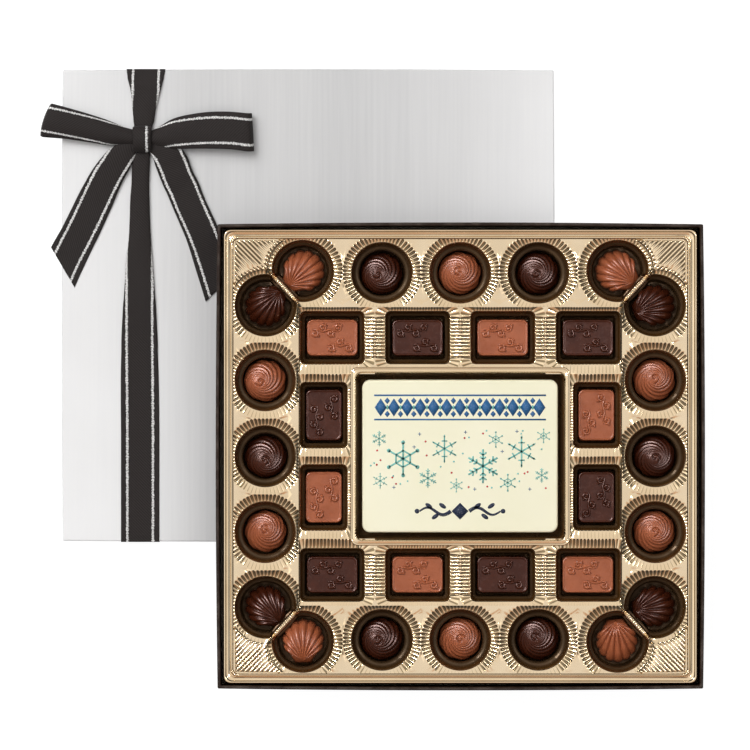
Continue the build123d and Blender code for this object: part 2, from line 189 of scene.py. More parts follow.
def thickened(piece, thickness, offset=-1, rim=True):
    """Gives a skin its thickness, to the side away from its face."""
    solid = piece.modifiers.new("thickness", "SOLIDIFY")
    solid.thickness = thickness * MM
    solid.offset = offset
    solid.use_rim = rim
    return piece


def crisp(piece):
    """Keeps large flat faces flat in the shading, beside their rounded edges."""
    weighted = piece.modifiers.new("flat faces", "WEIGHTED_NORMAL")
    weighted.weight = 100
    return piece


def round_rect(half_x, half_y, radius, side_steps, arc_steps):
    """Points round a rounded rectangle from the middle of its right side, anticlockwise."""
    points = []
    corners = ((1, 1, 0), (-1, 1, 90), (-1, -1, 180), (1, -1, 270))
    for index, (side_x, side_y, start) in enumerate(corners):
        centre = Vector((side_x * (half_x - radius), side_y * (half_y - radius)))
        for step in range(arc_steps + 1):
            angle = math.radians(start + 90 * step / arc_steps)
            points.append(centre + radius * Vector((math.cos(angle), math.sin(angle))))
        next_x, next_y, next_start = corners[(index + 1) % 4]
        next_centre = Vector((next_x * (half_x - radius), next_y * (half_y - radius)))
        angle = math.radians(next_start)
        goal = next_centre + radius * Vector((math.cos(angle), math.sin(angle)))
        last = points[-1]
        for step in range(1, side_steps):
            points.append(last.lerp(goal, step / side_steps))
    return points


def ringed(rings, folds=None):
    """A surface from the first ring to the last, each a list of as many points, with how deep in a groove
    each point lies, for painted shade.
    """
    count = len(rings[0])

    def place(column, row):
        return rings[row][column % count]

    def fold(column, row):
        return folds[row][column % count] if row < len(folds) else 0.0

    return formed_grid(count, len(rings) - 1, place, fold if folds else None)


def raised(points, z, share=1.0):
    """Plan points at one height, drawn in towards the middle by a share."""
    return [Vector((point.x * share, point.y * share, z)) for point in points]


def slab(half, rows, side_steps, arc_steps, foot_shares):
    """A slab of rounded rectangles, closed from the middle of its foot to the middle of its top.

    A row is how far in, corner radius and height. Foot shares give the rings inside the foot's outline.
    """
    outlines = [
        round_rect(half[0] - inset, half[1] - inset, radius, side_steps, arc_steps)
        for inset, radius, z in rows
    ]
    rings = [raised(outlines[0], rows[0][2], share) for share in foot_shares]
    rings += [raised(outline, z) for outline, (inset, radius, z) in zip(outlines, rows)]
    rings.append(raised(outlines[-1], rows[-1][2], 0.0))
    return ringed(rings)


def turned(bm, degrees):
    """Turns a form about its upright axis."""
    turn = Matrix.Rotation(math.radians(degrees), 3, "Z")
    bmesh.ops.rotate(bm, cent=(0, 0, 0), matrix=turn, verts=bm.verts)
    return bm


# Board trays and their paper

def swell(bm, size):
    """Lets the four sides of a tray bow outwards by a little at their middles."""
    length, width, height, bow = size
    for vert in bm.verts:
        x, y = vert.co.x, vert.co.y
        vert.co.x = x * (1 + 2 * bow / length * (1 - (2 * y / width) ** 2))
        vert.co.y = y * (1 + 2 * bow / width * (1 - (2 * x / length) ** 2))


TRAY_CUTS = 19
EDGE_STEPS = 4


def open_box(size, inset, wall, depth, edge, has_floor):
    """An open box, open side up: a block with its top sunk between walls, and its edges rounded."""
    length, width, height, bow = size
    bm = bmesh.new()
    scale = Matrix.Diagonal((length - 2 * inset, width - 2 * inset, height - 2 * inset, 1))
    bmesh.ops.create_cube(bm, size=1, matrix=Matrix.Translation((0, 0, height / 2)) @ scale)
    top = max(bm.faces, key=lambda face: face.calc_center_median().z)
    bmesh.ops.inset_region(bm, faces=[top], thickness=wall, use_even_offset=True)
    sunk = bmesh.ops.extrude_discrete_faces(bm, faces=[top])["faces"][0]
    bmesh.ops.translate(bm, vec=(0, 0, -depth), verts=sunk.verts)
    if not has_floor:
        bmesh.ops.delete(bm, geom=[sunk], context="FACES_ONLY")
    rounded(bm, [line for line in bm.edges if line.is_manifold], edge, EDGE_STEPS)
    long_edges = [line for line in bm.edges if line.calc_length() > length / 2]
    bmesh.ops.subdivide_edges(bm, edges=long_edges, cuts=TRAY_CUTS, use_grid_fill=True)
    return bm


def rounded(bm, edges, offset, segments):
    """Rounds some edges off."""
    bmesh.ops.bevel(
        bm, geom=edges, offset=offset, offset_type="OFFSET", segments=segments, profile=0.5, affect="EDGES",
        clamp_overlap=True, material=-1,
    )


# The wrap's overlapping ends: how far they reach along the front and back, and how much more on the right,
# how far they stay from the corner, their thickness, their edge and what their height leaves free
FLAP_REACH = 9.0
FLAP_MORE = 2.0
FLAP_START = 1.2
FLAP_THICK = 0.16
FLAP_SUNK = 0.02
FLAP_EDGE = 0.05
FLAP_HEIGHT = 0.94
FLAP_FREE = 1.5


def paper_flaps(size):
    """The overlapping ends of the wrapping paper, round each upright corner of a tray."""
    length, width, height, bow = size
    flaps = bmesh.new()
    for side_x, side_y in CORNERS:
        reach = FLAP_REACH + FLAP_MORE * side_x
        x = side_x * (length / 2 - FLAP_START - reach / 2)
        y = side_y * (width / 2 - FLAP_SUNK)
        scale = Matrix.Diagonal((reach, FLAP_THICK, height * FLAP_HEIGHT - FLAP_FREE, 1))
        part = bmesh.new()
        bmesh.ops.create_cube(part, size=1, matrix=Matrix.Translation((x, y, height / 2)) @ scale)
        rounded(part, list(part.edges), FLAP_EDGE, 2)
        gather(flaps, part)
    return flaps


def tray(prefix, size, origin, body, paper, slot, upside_down):
    """The board and the paper wrap of one tray."""
    height = size[2]
    turn = Matrix.Translation((0, 0, height)) @ Matrix.Rotation(math.pi, 4, "X")
    board = open_box(size, PAPER_LAYER, BOARD_WALL, height - WALL - PAPER_LAYER, BOARD_EDGE, True)
    wrap = open_box(size, 0, WALL, TURN_IN, TRAY_EDGE, False)
    flaps = paper_flaps(size)
    for bm in (board, wrap, flaps):
        swell(bm, size)
        if upside_down:
            bmesh.ops.transform(bm, matrix=turn, verts=bm.verts)
    crisp(finished(f"{prefix}_board_tray", board, origin, BOARD, body, [f"{prefix}_board"], "board"))
    skin = finished(f"{prefix}_paper_wrap", wrap, origin, paper, body, [f"{prefix}_wrap"], slot)
    crisp(thickened(skin, PAPER))
    crisp(finished(f"{prefix}_paper_flaps", flaps, origin, paper, body, [f"{prefix}_wrap"], slot))


# Pressed foil insert: every pocket is one tile of sheet, from ridge lines down to its floor

RIDGE = 0.45
# How far a lip falls at most, how far for each millimetre of band, and how much less where the deck is smooth
LIP_DROP = 1.05
LIP_FALL = 0.27
LIP_EVEN = 0.7
# The fluted band round each pocket: how far it reaches from the lip, and its rows from outside to the lip
BAND = 5.0
FLAT_ROWS = (1.0, 0.5)
BAND_ROWS = (1.0, 0.94, 0.87, 0.76, 0.63, 0.49, 0.34, 0.2, 0.08, 0.0)
ROUND_RIBS = 60
SHELL_POCKET_RIBS = 58
COLUMNS_PER_RIB = 6
RIB_HEIGHT = 0.62
RIB_UNEVEN = 0.22
# What scatters the unevenness, so that it follows no pattern along the ribs
RIB_SCATTER = (12.9898, 78.233)
# The share of the ribs' height that lies below the deck
RIB_BASE = 0.6
LIP_EASE = 0.15
# Depth below the lip and step inwards, for a round pocket 19 mm deep: lip, wall, ledge, wall, foot
WALL_ROWS = (
    (0.12, 0.05), (0.45, 0.16), (1.2, 0.32), (2.6, 0.7), (3.9, 1.15), (4.8, 1.6), (5.35, 2.1), (5.7, 2.75),
    (5.95, 3.5), (6.4, 4.1), (8.5, 4.3), (14.0, 4.4), (17.2, 4.6), (18.5, 5.0), (19.0, 6.2),
)
SHELL_STEP = 0.68
# Every pocket's deck is nearly smooth on the side nearest the box's front: half that range and where the ribs
# are whole again beyond it, in degrees, and what is left of the ribs there
SMOOTH_HALF = 30
SMOOTH_FADE = 14
SMOOTH_REST = 0.12
FLOOR_ROWS = (0.6, 0.0)


def lip_distance(x, y):
    """How far a point of the deck lies from the nearest pocket's lip."""
    x, y = abs(x), abs(y)
    nearest = BAND * 4
    for step in range(2):
        for centre, radius in (
            ((COLUMN_X, step * COLUMN_PITCH), ROUND_RADIUS), ((step * ROW_PITCH, ROW_Y), ROUND_RADIUS),
        ):
            nearest = min(nearest, math.dist((x, y), centre) - radius)
    for centre in (SHELL_SIDE, SHELL_END):
        nearest = min(nearest, math.dist((x, y), centre) - SHELL_RADIUS)
    for centre, size in BLOCK_POCKETS:
        off_x = max(0.0, abs(x - centre[0]) - size[0] / 2)
        off_y = max(0.0, abs(y - centre[1]) - size[1] / 2)
        nearest = min(nearest, math.hypot(off_x, off_y))
    return nearest


def ridge_height(x, y):
    """Height of the ridge lines between fluted bands, down to a flat deck at the border and the frame."""
    to_border = min(FIELD_X - abs(x), FIELD_Y - abs(y))
    to_frame = max(abs(x) - FRAME_X, abs(y) - FRAME_Y)
    fade = smooth_step(to_border / 4) * smooth_step(to_frame / 3)
    return RIDGE * fade * (1 - smooth_step((lip_distance(x, y) - BAND) / 1.2))


def lip_fall(width, rough):
    """How far the lip lies below the deck, by its band's width; less where the deck is smooth."""
    return min(LIP_DROP, LIP_FALL * width) * (1 - LIP_EVEN * (1 - rough))


def band_height(outer, drop, out):
    """Height across a fluted band, from its lip at 0 to its outer end at 1."""
    return -drop + (outer + drop) * out ** 1.35


def rib_shape(turns, seed=0.0):
    """A rounded rib between narrow grooves, from -0.6 to about 0.4, no two quite as tall."""
    uneven = 1 + RIB_UNEVEN * math.sin(RIB_SCATTER[0] * (round(turns) + seed) + RIB_SCATTER[1] * seed)
    return uneven * abs(math.cos(math.pi * turns)) - RIB_BASE


def rib_strength(width, out):
    """How tall a rib is, along a band of some width: full in the middle, soft at the lip, cut off outside."""
    return min(RIB_HEIGHT, 0.1 + 0.085 * width) * min(1.0, 0.4 + 1.5 * out) * smooth_step((1 - out) / 0.1)


def groove_share(rib, width, out):
    """How deep in the groove between two ribs a point lies, from 0 to 1."""
    return max(0.0, 1 - RIB_BASE - rib) ** 2 * rib_strength(width, out) / RIB_HEIGHT


def reach_of(outline, centre, angle):
    """How far a ray runs from centre before it meets the outline."""
    ray = Vector((math.cos(angle), math.sin(angle)))
    nearest = 1000.0
    for start, end in zip(outline, outline[1:] + outline[:1]):
        side = end - start
        across = ray.x * side.y - ray.y * side.x
        if abs(across) < 1e-9:
            continue
        gap = start - centre
        along = (gap.x * side.y - gap.y * side.x) / across
        share = (gap.x * ray.y - gap.y * ray.x) / across
        if along > 0 and -1e-6 <= share <= 1 + 1e-6:
            nearest = min(nearest, along)
    return nearest


def ray_angles(outline, centre, count):
    """Even angles round a centre, and one at each corner of the outline."""
    angles = [2 * math.pi * step / count for step in range(count)]
    for corner in outline:
        away = corner - centre
        angles.append(math.atan2(away.y, away.x) % (2 * math.pi))
    return sorted(angles)


def smoothed(angle):
    """How much of the ribs is left at a heading round a pocket."""
    turn = abs((math.degrees(angle) - 270 + 180) % 360 - 180)
    return SMOOTH_REST + (1 - SMOOTH_REST) * smooth_step((turn - SMOOTH_HALF) / SMOOTH_FADE)


# A ray from a round pocket's middle: its heading, how far off the tile's edge and the lip are, how much lower
# the deck is on a bridge, the fluted band's width, the lip's fall, how much of its rib is left, and its rib
Ray = namedtuple("Ray", "heading far lip low band fall rough rib")
LEAST_BAND = 0.3
BRIDGE_EASE = 0.6
LIP_BEAD = 0.25
BEAD_FADE = 0.8


def pocket_rays(outline, centre, radius, ribs, bridge):
    """The rays of a round pocket, some for each rib, and one at each corner of its tile."""
    rays = []
    for angle in ray_angles(outline, centre, ribs * COLUMNS_PER_RIB):
        far = reach_of(outline, centre, angle)
        low = 0.0
        if bridge is not None and math.cos(angle - bridge) > 0:
            low = BRIDGE_DROP * smooth_step((radius + BRIDGE_EASE - far) / (2 * BRIDGE_EASE))
        lip = min(radius + LIP_EASE, far - (BRIDGE_HALF if low > 0 else LEAST_BAND))
        band = min(BAND, far - lip)
        rough = smoothed(angle)
        rib = rib_shape(angle * ribs / (2 * math.pi), centre.x + centre.y)
        heading = Vector((math.cos(angle), math.sin(angle)))
        rays.append(Ray(heading, far, lip, low, band, lip_fall(band, rough), rough, rib))
    return rays


def round_tile(outline, centre, radius, depth, ribs, step_in, bridge=None):
    """A tile with a fluted round pocket.

    Step in scales the wall's steps inwards. A bridge is the heading of the low bridge to the pocket beside.
    """
    rays = pocket_rays(outline, centre, radius, ribs, bridge)
    wall_start = len(FLAT_ROWS) + len(BAND_ROWS)
    floor_start = wall_start + len(WALL_ROWS)

    def place(column, row):
        ray = rays[column % len(rays)]
        rim = ray.lip + ray.band
        if row < len(FLAT_ROWS):
            point = centre + ray.heading * (rim + (ray.far - rim) * FLAT_ROWS[row])
            height = ridge_height(point.x, point.y) - ray.low
        elif row < wall_start:
            out = BAND_ROWS[row - len(FLAT_ROWS)]
            edge = centre + ray.heading * rim
            point = centre + ray.heading * (ray.lip + ray.band * out)
            height = band_height(ridge_height(edge.x, edge.y), ray.fall, out) - ray.low
            height += ray.rib * ray.rough * rib_strength(ray.band, out)
        elif row < floor_start:
            down, inset = WALL_ROWS[row - wall_start]
            inset *= step_in
            start = ray.low + ray.fall
            height = -start - down * (depth - start) / WALL_ROWS[-1][0]
            distance = min(radius + LIP_EASE, ray.far - LEAST_BAND) - inset
            if ray.low > 0:
                slope = 0.03 * max(0.0, -height - BRIDGE_DROP)
                distance = min(distance, ray.lip - min(inset, LEAST_BAND) - slope)
            distance += LIP_BEAD * ray.rib * ray.rough * math.exp(-down / BEAD_FADE)
            point = centre + ray.heading * distance
        else:
            end = radius - WALL_ROWS[-1][1] * step_in
            if ray.low > 0:
                end = min(end, ray.lip - 1.5)
            point = centre + ray.heading * end * FLOOR_ROWS[row - floor_start]
            height = -depth
        return Vector((point.x, point.y, height))

    # How deep in a groove between the ribs each point lies: the gold paints shade there
    def fold(column, row):
        if not len(FLAT_ROWS) <= row < wall_start:
            return 0.0
        ray = rays[column % len(rays)]
        return ray.rough * groove_share(ray.rib, ray.band, BAND_ROWS[row - len(FLAT_ROWS)])

    return formed_grid(len(rays), floor_start + len(FLOOR_ROWS) - 1, place, fold)


def rect_outline(x_first, x_second, y_first, y_second):
    """The four corners of a tile, anticlockwise from its lower left, between two numbers along each axis."""
    x_low, x_high = sorted((x_first, x_second))
    y_low, y_high = sorted((y_first, y_second))
    return [Vector(corner) for corner in ((x_low, y_low), (x_high, y_low), (x_high, y_high), (x_low, y_high))]


def face_up(bm):
    """Turns a sheet's faces upwards, if they look down."""
    if sum(face.normal.z for face in bm.faces) < 0:
        bmesh.ops.reverse_faces(bm, faces=bm.faces)
    return bm


def round_tile_groups():
    """The round tiles in four groups: left and right columns, top and bottom rows."""
    groups = defaultdict(bmesh.new)
    for step in (-1, 0, 1):
        for side, column_name, row_name in ((-1, "left", "bottom"), (1, "right", "top")):
            x, y = step * ROW_PITCH, step * COLUMN_PITCH
            for name, centre, outline in (
                (column_name, (side * COLUMN_X, y), rect_outline(
                    side * COLUMN_EDGE, side * FIELD_X, y - COLUMN_PITCH / 2, y + COLUMN_PITCH / 2,
                )),
                (row_name, (x, side * ROW_Y), rect_outline(
                    x - ROW_PITCH / 2, x + ROW_PITCH / 2, side * ROW_EDGE, side * FIELD_Y,
                )),
            ):
                tile = round_tile(outline, Vector(centre), ROUND_RADIUS, ROUND_DEPTH, ROUND_RIBS, 1.0)
                gather(groups[name], tile)
    return groups


def shell_pocket_pair(side_x, side_y):
    """The middles of a corner's two shell pockets."""
    return [Vector((x * side_x, y * side_y)) for x, y in (SHELL_SIDE, SHELL_END)]


def shell_tile_groups():
    """The corner tiles, each split where its two pockets meet at their bridge, with a hatched corner."""
    groups = defaultdict(bmesh.new)
    for side_x, side_y in CORNERS:
        name = "left" if side_x < 0 else "right"
        first, second = shell_pocket_pair(side_x, side_y)
        outline = [
            Vector((x * side_x, y * side_y)) for x, y in (
                (FIELD_X, 1.5 * COLUMN_PITCH), (FIELD_X, FIELD_Y), (1.5 * ROW_PITCH, FIELD_Y),
                (1.5 * ROW_PITCH, ROW_EDGE), (COLUMN_EDGE, ROW_EDGE), (COLUMN_EDGE, 1.5 * COLUMN_PITCH),
            )
        ]
        for centre, other in ((first, second), (second, first)):
            away = (other - centre).normalized()
            half = cut_outline(outline, (first + second) / 2, away)
            bridge = math.atan2(away.y, away.x)
            tile = round_tile(half, centre, SHELL_RADIUS, SHELL_DEPTH, SHELL_POCKET_RIBS, SHELL_STEP, bridge)
            if side_x * side_y < 0:
                bmesh.ops.recalc_face_normals(tile, faces=tile.faces)
            gather(groups[name], tile)
        gather(groups[name], corner_hatch(Vector((side_x, side_y)), first, second))
    return groups


BRIDGE_PITCH = 1.3
BRIDGE_RIB = 0.3
# How far a strip runs on beyond the pockets' circles and over its sides, how high it lies at its ends and
# above the low bridge, how far it slopes down from each end, and how much lower its sides are
BRIDGE_BEYOND = 0.6
BRIDGE_OVER = 0.1
BRIDGE_END = 0.15
BRIDGE_ABOVE = 0.5
BRIDGE_SLOPE = 3.2
BRIDGE_CROWN = 0.45
BRIDGE_COLUMNS = 128
BRIDGE_ROWS = 8


def bridge_strips():
    """The bright cross-ribbed strips along the four low bridges between the shell pockets."""
    strips = bmesh.new()
    for side_x, side_y in CORNERS:
        first, second = shell_pocket_pair(side_x, side_y)
        middle = (first + second) / 2
        across = (second - first).normalized()
        along = Vector((-across.y, across.x))
        reach = math.sqrt(SHELL_RADIUS ** 2 - (first - middle).length_squared) + BRIDGE_BEYOND

        def place(column, row):
            run = (column / BRIDGE_COLUMNS * 2 - 1) * reach
            aside = row / BRIDGE_ROWS * 2 - 1
            point = middle + along * run + across * aside * (BRIDGE_HALF + BRIDGE_OVER)
            rib = BRIDGE_RIB * abs(math.cos(math.pi * run / BRIDGE_PITCH))
            sunk = (BRIDGE_DROP - BRIDGE_ABOVE) * smooth_step((reach - abs(run)) / BRIDGE_SLOPE)
            return Vector((point.x, point.y, BRIDGE_END + rib - sunk - BRIDGE_CROWN * aside ** 2))

        gather(strips, face_up(formed_grid(BRIDGE_COLUMNS, BRIDGE_ROWS, place)))
    return strips


HATCH_PITCH = 1.9
HATCH_HEIGHT = 0.46
HATCH_REACH = 26.0
HATCH_GAP = 2.2
# How far the hatch stays off the border, how high its grooves are, how far it sinks at its edges, and how
# much painted shade its grooves get
HATCH_OFF = 0.7
HATCH_DECK = 0.33
HATCH_SUNK = 0.3
HATCH_GROOVE_SHADE = 0.8
HATCH_COLUMNS = 274
HATCH_ROWS = 18
ROOT = math.sqrt(2)


def hatch_across(column):
    """How far a column of the hatch lies from the corner's diagonal."""
    return (2 * column / HATCH_COLUMNS - 1) * HATCH_REACH + (FIELD_X - FIELD_Y) / ROOT


def hatch_rib(across):
    """The hatch's rounded rib, from 0 in its groove to 1."""
    return abs(math.cos(math.pi * across / HATCH_PITCH))


def corner_hatch(corner, first, second):
    """Ribs on the flat deck in a corner, all along the corner's diagonal, from both pockets to the border."""
    def place(column, row):
        across = hatch_across(column)
        start = 0.0
        for centre in (first, second):
            along = (abs(centre.x) + abs(centre.y)) / ROOT
            aside = (abs(centre.x) - abs(centre.y)) / ROOT
            gap = (SHELL_RADIUS + HATCH_GAP) ** 2 - (across - aside) ** 2
            if gap > 0:
                start = max(start, along + math.sqrt(gap))
        end = min(ROOT * FIELD_X - across, ROOT * FIELD_Y + across) - HATCH_OFF
        if start == 0.0 or start > end:
            start = end
        along = start + (end - start) * row / HATCH_ROWS
        x, y = (along + across) / ROOT, (along - across) / ROOT
        edge = smooth_step((along - start) / 1.2) * smooth_step((end - along) / 0.8)
        height = edge * (HATCH_DECK + HATCH_HEIGHT * hatch_rib(across)) - HATCH_SUNK
        return Vector((corner.x * x, corner.y * y, height))

    # How deep in a groove of the hatch each point lies: the gold paints shade there
    def fold(column, row):
        return HATCH_GROOVE_SHADE * (1 - hatch_rib(hatch_across(column))) ** 2

    patch = formed_grid(HATCH_COLUMNS, HATCH_ROWS, place, fold)
    bmesh.ops.recalc_face_normals(patch, faces=patch.faces)
    return face_up(patch)


def cut_outline(outline, point, away):
    """The part of an outline that lies before a line through point, square to away."""
    kept = []
    for start, end in zip(outline, outline[1:] + outline[:1]):
        near = (start - point).dot(away)
        far = (end - point).dot(away)
        if near <= 0:
            kept.append(start)
        if near * far < 0:
            kept.append(start.lerp(end, near / (near - far)))
    return kept


# Depth below the lip and step inwards, for a block pocket 14 mm deep
BLOCK_WALL_ROWS = (
    (0.12, 0.05), (0.45, 0.15), (1.2, 0.3), (2.6, 0.6), (3.8, 0.9), (4.6, 1.2), (5.1, 1.6), (5.4, 2.1),
    (5.8, 2.55), (6.4, 2.7), (12.3, 2.75), (13.5, 3.0), (14.0, 3.8),
)
SIDE_STEPS = 84
ARC_STEPS = 12


# Ribs from one to the next on narrow and wide bands of deck, and where a band counts as wide
NARROW_PITCH = 1.5
WIDE_PITCH = 2.0
WIDE_BAND = 3.0
BLOCK_BAND = BAND + 0.8
BLOCK_BEAD = 0.012
# A column of a block tile: its place on the lip and on the tile's edge, how far apart they are, its place on
# the fluted band's outer end, that band's width, the side's width, how many ribs along it is, how much of its
# rib is left, and the lip's fall
Column = namedtuple("Column", "lip edge span outer band width turns rough fall")


def block_edge(outline, centre, half_x, half_y):
    """Places round a block tile's edge, anticlockwise, with the side's width, ribs along it and roughness."""
    low, high = outline[0], outline[2]
    corners = [
        (Vector((high.x if side_x > 0 else low.x, high.y if side_y > 0 else low.y)),
         centre + Vector((side_x * (half_x - POCKET_CORNER), side_y * (half_y - POCKET_CORNER))))
        for side_x, side_y in ((1, 1), (-1, 1), (-1, -1), (1, -1), (1, 1))
    ]
    for index, ((corner, arc), (next_corner, next_arc)) in enumerate(zip(corners, corners[1:])):
        arrive, leave = Vector((corner.x, arc.y)), Vector((arc.x, corner.y))
        goal = Vector((next_arc.x, next_corner.y))
        width = abs(leave.y - centre.y) - half_y
        if index % 2:
            arrive, leave = leave, arrive
            goal = Vector((next_corner.x, next_arc.y))
            width = abs(leave.x - centre.x) - half_x
        for step in range(ARC_STEPS + 1):
            turn = 2 * step / ARC_STEPS
            place = arrive.lerp(corner, turn) if turn <= 1 else corner.lerp(leave, turn - 1)
            yield place, WIDE_PITCH, 1.5 * turn, smoothed(math.radians(90 * index + 45 * turn))
        count = round((goal - leave).length / (WIDE_PITCH if width > WIDE_BAND else NARROW_PITCH))
        for step in range(1, SIDE_STEPS):
            share = step / SIDE_STEPS
            yield leave.lerp(goal, share), width, count * share, SMOOTH_REST if index == 2 else 1.0


def block_tile(outline, centre, size):
    """A tile with a block pocket: ribs run square to its sides, coarse on the wide bands of deck."""
    half_x, half_y = size[0] / 2, size[1] / 2
    columns = []
    mouth = round_rect(half_x, half_y, POCKET_CORNER, SIDE_STEPS, ARC_STEPS)
    for point, (edge, width, turns, rough) in zip(mouth, block_edge(outline, centre, half_x, half_y)):
        lip = centre + point
        span = (edge - lip).length
        band = min(BLOCK_BAND, span)
        outer = lip.lerp(edge, band / span)
        columns.append(Column(lip, edge, span, outer, band, width, turns, rough, lip_fall(width, rough)))
    rings = []
    for flat in FLAT_ROWS:
        rings.append([])
        for spot in columns:
            place = spot.lip.lerp(spot.edge, (spot.band + (spot.span - spot.band) * flat) / spot.span)
            rings[-1].append(Vector((place.x, place.y, ridge_height(place.x, place.y))))
    # How deep in a groove between the ribs each point lies: the gold paints shade there
    folds = [[0.0] * len(columns) for flat in FLAT_ROWS]
    for out in BAND_ROWS:
        rings.append([])
        folds.append([])
        for spot in columns:
            place = spot.lip.lerp(spot.outer, out)
            rib = rib_shape(spot.turns, centre.x + spot.width)
            height = band_height(ridge_height(spot.outer.x, spot.outer.y), spot.fall, out)
            height += rib * spot.rough * rib_strength(spot.width, out)
            rings[-1].append(Vector((place.x, place.y, height)))
            folds[-1].append(spot.rough * groove_share(rib, spot.width, out))
    for down, inset in BLOCK_WALL_ROWS:
        radius = max(1.0, POCKET_CORNER - 0.5 * inset)
        wall = round_rect(half_x - inset, half_y - inset, radius, SIDE_STEPS, ARC_STEPS)
        rings.append([])
        for point, spot in zip(wall, columns):
            bead = 1 + BLOCK_BEAD * rib_shape(spot.turns) * math.exp(-down / BEAD_FADE)
            height = -spot.fall - down * (BLOCK_DEPTH - spot.fall) / BLOCK_WALL_ROWS[-1][0]
            rings[-1].append(Vector((centre.x + point.x * bead, centre.y + point.y * bead, height)))
    foot = rings[-1]
    for share in FLOOR_ROWS:
        rings.append([Vector((centre.x, centre.y, -BLOCK_DEPTH)).lerp(point, share) for point in foot])
    return ringed(rings, folds)


def block_tile_groups():
    """The block tiles in three groups: top row, bottom row and the two sides."""
    groups = defaultdict(bmesh.new)
    for side_x, side_y in CORNERS:
        row_name = "bottom" if side_y < 0 else "top"
        for name, (near_x, far_x, near_y, far_y), (centre, size) in (
            (row_name, (0, BLOCK_SPLIT_X, FRAME_Y, ROW_EDGE), BLOCK_POCKETS[0]),
            (row_name, (BLOCK_SPLIT_X, COLUMN_EDGE, SIDE_EDGE, ROW_EDGE), BLOCK_POCKETS[1]),
            ("sides", (FRAME_X, COLUMN_EDGE, 0, SIDE_EDGE), BLOCK_POCKETS[2]),
        ):
            outline = rect_outline(side_x * near_x, side_x * far_x, side_y * near_y, side_y * far_y)
            gather(groups[name], block_tile(outline, Vector((side_x * centre[0], side_y * centre[1])), size))
    return groups


# Border of the insert, from the foot of its skirt to the field: how far in, corner radius and height
BORDER_ROWS = (
    (0.0, 4.0, -SKIRT), (0.0, 4.0, -11.0), (0.0, 4.0, -1.4), (0.05, 4.0, -0.3), (0.22, 3.9, 0.35),
    (0.6, 3.8, 0.72), (0.95, 3.7, 0.8), (1.3, 3.6, 0.72), (1.68, 3.5, 0.35), (1.9, 3.4, 0.08),
    (2.15, 3.4, 0.0), (3.0, 3.3, 0.0), (3.15, 3.3, -0.18), (3.3, 3.2, -0.2), (3.45, 3.2, -0.02),
    (4.0, 3.2, 0.02), (4.15, 3.2, 0.1), (4.35, 3.2, 0.5), (4.6, 3.2, 0.76), (4.9, 3.2, 0.82),
    (5.2, 3.1, 0.72), (5.45, 3.1, 0.42), (5.65, 3.1, 0.05), (5.9, 3.1, -0.4), (6.1, 3.1, -0.9),
)
# The crimps round its corners: their height, the points from one to the next, and the rows that have them
CRIMP_HEIGHT = 0.22
CRIMP_STEPS = 4
CRIMPED = range(16, 23)


def insert_border():
    """The skirt and the stepped border: outer ridge, groove with a fine crease, and inner ridge."""
    side_steps, arc_steps = 60, 24
    rings = []
    for row, (inset, radius, z) in enumerate(BORDER_ROWS):
        ring = []
        outline = round_rect(INSERT_HALF_X - inset, INSERT_HALF_Y - inset, radius, side_steps, arc_steps)
        for index, point in enumerate(outline):
            turn = index % (side_steps + arc_steps)
            crimp = 0.0
            if row in CRIMPED and turn <= arc_steps:
                crimp = CRIMP_HEIGHT * (abs(math.cos(math.pi * turn / CRIMP_STEPS)) - 0.6)
            ring.append(Vector((point.x, point.y, z + crimp)))
        rings.append(ring)
    return ringed(rings)


# Frame and well, from the foot of the frame's outer side: how far in, corner radius, height
WELL_ROWS = (
    (0.0, 4.2, -0.6), (0.0, 4.2, 0.5), (0.08, 4.15, 1.1), (0.3, 4.0, 1.42), (0.62, 3.9, 1.5),
    (0.86, 3.8, 1.42), (0.98, 3.7, 1.3), (1.12, 3.6, 1.3), (1.26, 3.5, 1.42), (1.5, 3.4, 1.5),
    (2.0, 3.3, 1.52), (2.3, 3.2, 1.66), (2.55, 3.1, 1.68), (2.75, 3.0, 1.5), (2.95, 2.9, 1.05),
    (3.1, 2.8, 0.5), (3.25, 2.8, -0.2), (3.42, 2.8, -1.2), (3.6, 2.8, -2.0), (4.4, 2.7, -5.0),
    (5.0, 2.6, -7.3), (5.4, 2.5, -8.3), (5.9, 2.4, -8.9), (6.6, 2.2, WELL_FLOOR),
)
WELL_BEAD_ROWS = (13, 14, 15, 16)
# How far apart the mouth's beads are, how far they stand in as a share of its size, and how high they rise
WELL_BEADS = 1.8
WELL_BEAD_SHARE = 0.0032
WELL_BEAD_RISE = 0.1


def centre_well_form():
    """The raised frame, its beaded mouth and the well."""
    side_steps, arc_steps = 190, 10
    rings = []
    for row, (inset, radius, z) in enumerate(WELL_ROWS):
        ring = []
        outline = round_rect(FRAME_X - inset, FRAME_Y - inset, radius, side_steps, arc_steps)
        for index, point in enumerate(outline):
            side, turn = divmod(index, side_steps + arc_steps)
            beads = round(2 * (FRAME_Y if side % 2 else FRAME_X) / WELL_BEADS)
            along = max(0, turn - arc_steps) / side_steps
            bead = math.cos(2 * math.pi * beads * along) if row in WELL_BEAD_ROWS else 0.0
            share = 1 - WELL_BEAD_SHARE * bead
            ring.append(Vector((point.x * share, point.y * share, z + WELL_BEAD_RISE * bead)))
        rings.append(ring)
    rings.append([Vector((0, 0, WELL_FLOOR)) for point in rings[-1]])
    return ringed(rings)


